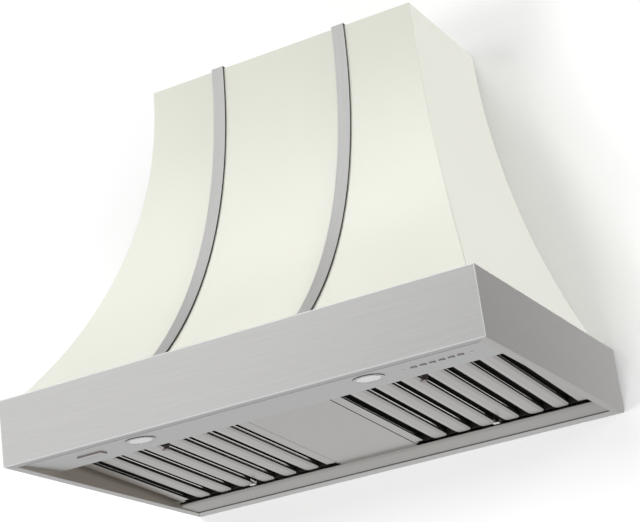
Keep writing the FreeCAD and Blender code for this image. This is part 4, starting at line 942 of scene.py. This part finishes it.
def turned_rings(profile, x, back, count=72):
    """A profile of (radius, up) spun round a point of the panel: x + r cos t, back + r sin t."""
    profile = np.array(profile, float)
    angle = np.linspace(0, 2 * math.pi, count, endpoint=False)[None, :]
    radius = profile[:, :1]
    return on_panel(x + radius * np.cos(angle), back + radius * np.sin(angle), profile[:, 1:])


print("the panel tilts by", round(math.degrees(PANEL_TILT), 1), "degrees")

# %% Lamps
LAMP_PLACE = LINER_HALF - 0.2202
LAMP_BACK = 0.053
LAMP_MOUTH = 0.0205
LENS_FACE = -0.001
LENS_DOME = 0.0003


def lamp_rim(word, side):
    """Pressed ring: a rounded section spun round the lamp's middle, its outer wall painted near black as
    shade.
    """
    inside = [(0.0242, 0.008), (0.0218, 0.008), (0.0218, -0.001), (LAMP_MOUTH, -0.001)]
    rolled = [(0.0206, -0.0013), (0.021, -0.0014), (0.0265, -0.0014), (0.0269, -0.0012), (0.027, -0.0008)]
    outside = [(0.027, 0), (0.0242, 0)]
    rings = turned_rings(inside + rolled + outside, side * LAMP_PLACE, LAMP_BACK)
    piece = make_hoop(f"lamp_{word}_ring", rings)
    # painted shade: the outer wall takes the near black finish
    bright, dark = 0, 1
    return choose_finish(piece, [bright] * 8 + [dark] * 3, rings.shape[1])


def lamp_lens(word, side):
    """Frosted glass, a shallow cap in the rim's mouth: up = face - dome (1 - r^2 / R^2)."""
    radius = np.linspace(LAMP_MOUTH - 0.0002, 0.001, 14)
    face = LENS_FACE - LENS_DOME * (1 - (radius / radius[0])**2)
    disc = [(0.0215, 0.001), (0.0215, -0.00098)]
    profile = np.concatenate([disc, np.stack([radius, face], axis=1)])
    return make_tube(f"lamp_{word}_glass", turned_rings(profile, side * LAMP_PLACE, LAMP_BACK))


for word, side in LEFT_AND_RIGHT.items():
    finish_piece(lamp_rim(word, side), "steel_x shaded", "hood", f"lamp_{word}_rim")
    finish_piece(lamp_lens(word, side), "lens", "hood", f"lamp_{word}_lens")
print("lamps stand", round(2 * LAMP_PLACE, 3), "m apart")

# %% Buttons and blank plate
BUTTON_MIDDLE = LINER_HALF - 0.1004
BUTTON_BACK = 0.0596
BUTTON_PITCH = 0.0166
BUTTON_LIFT = 0.0018
COVER_PLACE = 0.1116 - LINER_HALF
COVER_BACK = 0.0655
COVER_LIFT = 0.0026
CAP = (0.01, 0.0064, 0.0006)
STEM = (0.004, 0.004, 0.002)
FLANGE = (0.0128, 0.0092, 0.001)
COVER = (0.0495, 0.021, 0.0006)
BEHIND_CAP = [(*STEM, 0.0078), (*STEM, 0.0023), (*FLANGE, 0.0023), (*FLANGE, 0.0013), (*CAP, 0.0013)]
EASED_EDGE = 0.0004


def raised_block(name, x, back, size, height, behind):
    """Steps of (width, depth, radius, up) and then a cap whose far edge is eased by a quarter circle.

    At angle t the eased edge is drawn in by e (1 - cos t) and lies e (1 - sin t) above the far face.
    """
    width, depth, radius = size
    rings = [(rounded_box_ring(wide, deep, corner), up) for wide, deep, corner, up in behind]
    for t in np.linspace(0, math.pi / 2, 4):
        inset = 2 * EASED_EDGE * (1 - math.cos(t))
        ring = rounded_box_ring(width - inset, depth - inset, radius)
        rings.append((ring, EASED_EDGE * (1 - math.sin(t)) - height))
    rings = np.stack([on_panel(x + ring[:, 0], back + ring[:, 1], up) for ring, up in rings])
    # the walls take the dark tab steel, a painted shade along the sides of each block
    face, wall = 0, 1
    return choose_finish(make_tube(name, rings), [wall] * len(behind) + [face] * 3, rings.shape[1])


for index, word in enumerate(BUTTONS):
    place = BUTTON_MIDDLE + (index - (len(BUTTONS) - 1) / 2) * BUTTON_PITCH
    cap = raised_block(f"{word}_cap", place, BUTTON_BACK, CAP, BUTTON_LIFT, BEHIND_CAP)
    finish_piece(cap, "steel_x tab", f"{word}_button", f"{word}_button")
cover = raised_block("blank_cover", COVER_PLACE, COVER_BACK, COVER, COVER_LIFT, [(*COVER, 0)])
finish_piece(cover, "steel_x tab", "hood", "blank_plate")
print("buttons:", len(BUTTONS), "from", round(BUTTON_MIDDLE - 2.5 * BUTTON_PITCH, 4), "m")

# %% [markdown]
# ## The room
# The hood hangs on a white wall, above a pale floor. The wall is open from behind and lets light
# through to the hood, so that the back of the hood can be looked at as well.
# Brushed steel shows whatever stands opposite it. In a white room it would look flat and chalky, so
# metal sees the wall a little grey, with a painted shade that grows darker towards the right, where the
# hood's shadow falls. A pale curtain behind the camera, which only metal sees, does the same for the
# faces that look forward.

# %% Wall and floor
FLOOR_DROP = 1.65
ROOM_REACH = 9.0
WALL_GAP = 0.0005


def make_room_finish(name, level, lift, near, far):
    """Matt paint that is lifted to white, open from behind; metal sees a painted shade on it that goes from
    near to far along X.
    """
    material = bpy.data.materials.new(name)
    material.use_nodes = True
    tree = material.node_tree
    tree.nodes.remove(tree.nodes["Principled BSDF"])
    matt = add_node(tree, "ShaderNodeBsdfDiffuse", inputs={"Color": (level, level, level, 1)})
    glow = add_node(tree, "ShaderNodeEmission", inputs={"Strength": lift})
    lit = add_node(tree, "ShaderNodeAddShader", inputs={0: matt.outputs[0], 1: glow.outputs[0]})
    place = add_node(tree, "ShaderNodeTexCoord").outputs["Object"]
    across = add_node(tree, "ShaderNodeSeparateXYZ", inputs={0: place}).outputs["X"]
    # the grey that metal sees: for the wall it falls along X, a painted shade where the hood's shadow lies
    ends = {"Value": across, "From Min": 0.2, "From Max": 0.9, "To Min": near, "To Max": far}
    shade = add_node(tree, "ShaderNodeMapRange", {"interpolation_type": "SMOOTHSTEP"}, ends).outputs[0]
    painted_reflection_grey = add_node(tree, "ShaderNodeEmission", inputs={"Strength": shade})
    glossy = add_node(tree, "ShaderNodeLightPath").outputs["Is Glossy Ray"]
    facing = add_node(tree, "ShaderNodeMixShader", inputs={0: glossy, 1: lit.outputs[0], 2: painted_reflection_grey.outputs[0]})
    clear = add_node(tree, "ShaderNodeBsdfTransparent")
    behind = add_node(tree, "ShaderNodeNewGeometry").outputs["Backfacing"]
    ways = {0: behind, 1: facing.outputs[0], 2: clear.outputs[0]}
    mix = add_node(tree, "ShaderNodeMixShader", inputs=ways)
    tree.links.new(mix.outputs[0], tree.nodes["Material Output"].inputs["Surface"])
    return material


def make_room_side(name, corners, outward, finish, camera=True):
    """A plain flat sheet of the room, which only the camera and metal see."""
    points = np.array(corners, float).reshape(2, 2, 3)
    piece = make_grid(name, points, outward)
    piece.data.materials.append(finish)
    piece.visible_camera = camera
    piece.visible_diffuse = False
    piece.visible_transmission = False
    piece.visible_shadow = False
    return piece


def upright_corners(left, right, y, low, high):
    """Corners of an upright sheet across the room."""
    return [(left, y, low), (right, y, low), (left, y, high), (right, y, high)]


# metal sees the wall at 0.68 on the left, falling to 0.44 on the right: a painted shade
wall_finish = make_room_finish("wall_white", 0.9, 0.05, 0.68, 0.44)
floor_finish = make_room_finish("floor_white", 0.9, 0.16, 0.65, 0.65)
curtain_finish = make_room_finish("curtain_grey", 0.5, 0.0, 0.75, 0.75)
wall_corners = upright_corners(-ROOM_REACH, ROOM_REACH, WALL_GAP, -FLOOR_DROP, ROOM_REACH)
make_room_side("wall", wall_corners, (0, -1, 0), wall_finish)
floor_corners = [(x, y, -FLOOR_DROP) for y in (-ROOM_REACH, ROOM_REACH) for x in (-ROOM_REACH, ROOM_REACH)]
make_room_side("floor", floor_corners, (0, 0, 1), floor_finish)
curtain_corners = upright_corners(-1.2, 6, -4.2, -FLOOR_DROP, 2.6)
make_room_side("curtain", curtain_corners, (0, 1, 0), curtain_finish, camera=False)
print("the floor lies", FLOOR_DROP, "m under the hood")

# %% [markdown]
# ## Light
# A low even sky gives the plain level. A panel overhead brightens the flare of the canopy, where the
# paint leans back. A key panel in front on the left throws the soft shadow on the wall, one on the
# right lights the canopy's side, and two low ones reach the wall and the steel underneath.

# %% Sky and panels
def make_sky(level, shown):
    """Even white sky: level for matt surfaces, shown for the camera and for mirrors."""
    world = bpy.data.worlds.new("studio")
    bpy.context.scene.world = world
    world.use_nodes = True
    tree = world.node_tree
    path = add_node(tree, "ShaderNodeLightPath").outputs
    seen = total(tree, path["Is Camera Ray"], path["Is Glossy Ray"], "MAXIMUM")
    seen = total(tree, seen, path["Is Transmission Ray"], "MAXIMUM")
    ends = {"Value": seen, "To Min": level, "To Max": shown}
    strength = add_node(tree, "ShaderNodeMapRange", inputs=ends).outputs[0]
    tree.links.new(strength, tree.nodes["Background"].inputs["Strength"])
    tree.nodes["Background"].inputs["Color"].default_value = (1, 1, 1, 1)


def make_panel(name, place, aim, width, height, brightness):
    """A flat soft light that looks from its place at a point; brightness 1 is the white of the room."""
    data = bpy.data.lights.new(name, "AREA")
    data.shape = "RECTANGLE"
    data.size = width
    data.size_y = height
    data.energy = brightness * math.pi * width * height
    lamp = bpy.data.objects.new(name, data)
    bpy.context.scene.collection.objects.link(lamp)
    azimuth = math.atan2(place[0] - aim[0], aim[1] - place[1])
    flat = math.hypot(place[0] - aim[0], place[1] - aim[1])
    matrix = np.eye(4)
    matrix[:3, :3] = np.stack(camera_axes(azimuth, math.atan2(place[2] - aim[2], flat), 0), axis=1)
    matrix[:3, 3] = place
    lamp.matrix_world = Matrix(matrix.tolist())
    lamp.visible_glossy = False
    return lamp


HOOD_MIDDLE = (0, -0.3, 0.4)
make_sky(0.3, 1.0)
make_panel("key_panel", (-1.1, -4.6, 0.7), HOOD_MIDDLE, 0.9, 0.9, 15.0)
make_panel("top_panel", (-0.8, -1.4, 4.2), HOOD_MIDDLE, 2.4, 2.4, 6.6)
make_panel("side_panel", (4.6, -0.4, 1.2), (0.3, -0.3, 0.5), 0.5, 2.4, 46.0)
make_panel("low_panel", (-1.9, -4.4, -0.6), HOOD_MIDDLE, 0.9, 0.9, 21.0)
make_panel("floor_panel", (0.2, -1.3, -2.0), (0.2, 0, -0.4), 1.2, 1.2, 9.0)
print("lamps:", [item.name for item in bpy.data.lights])
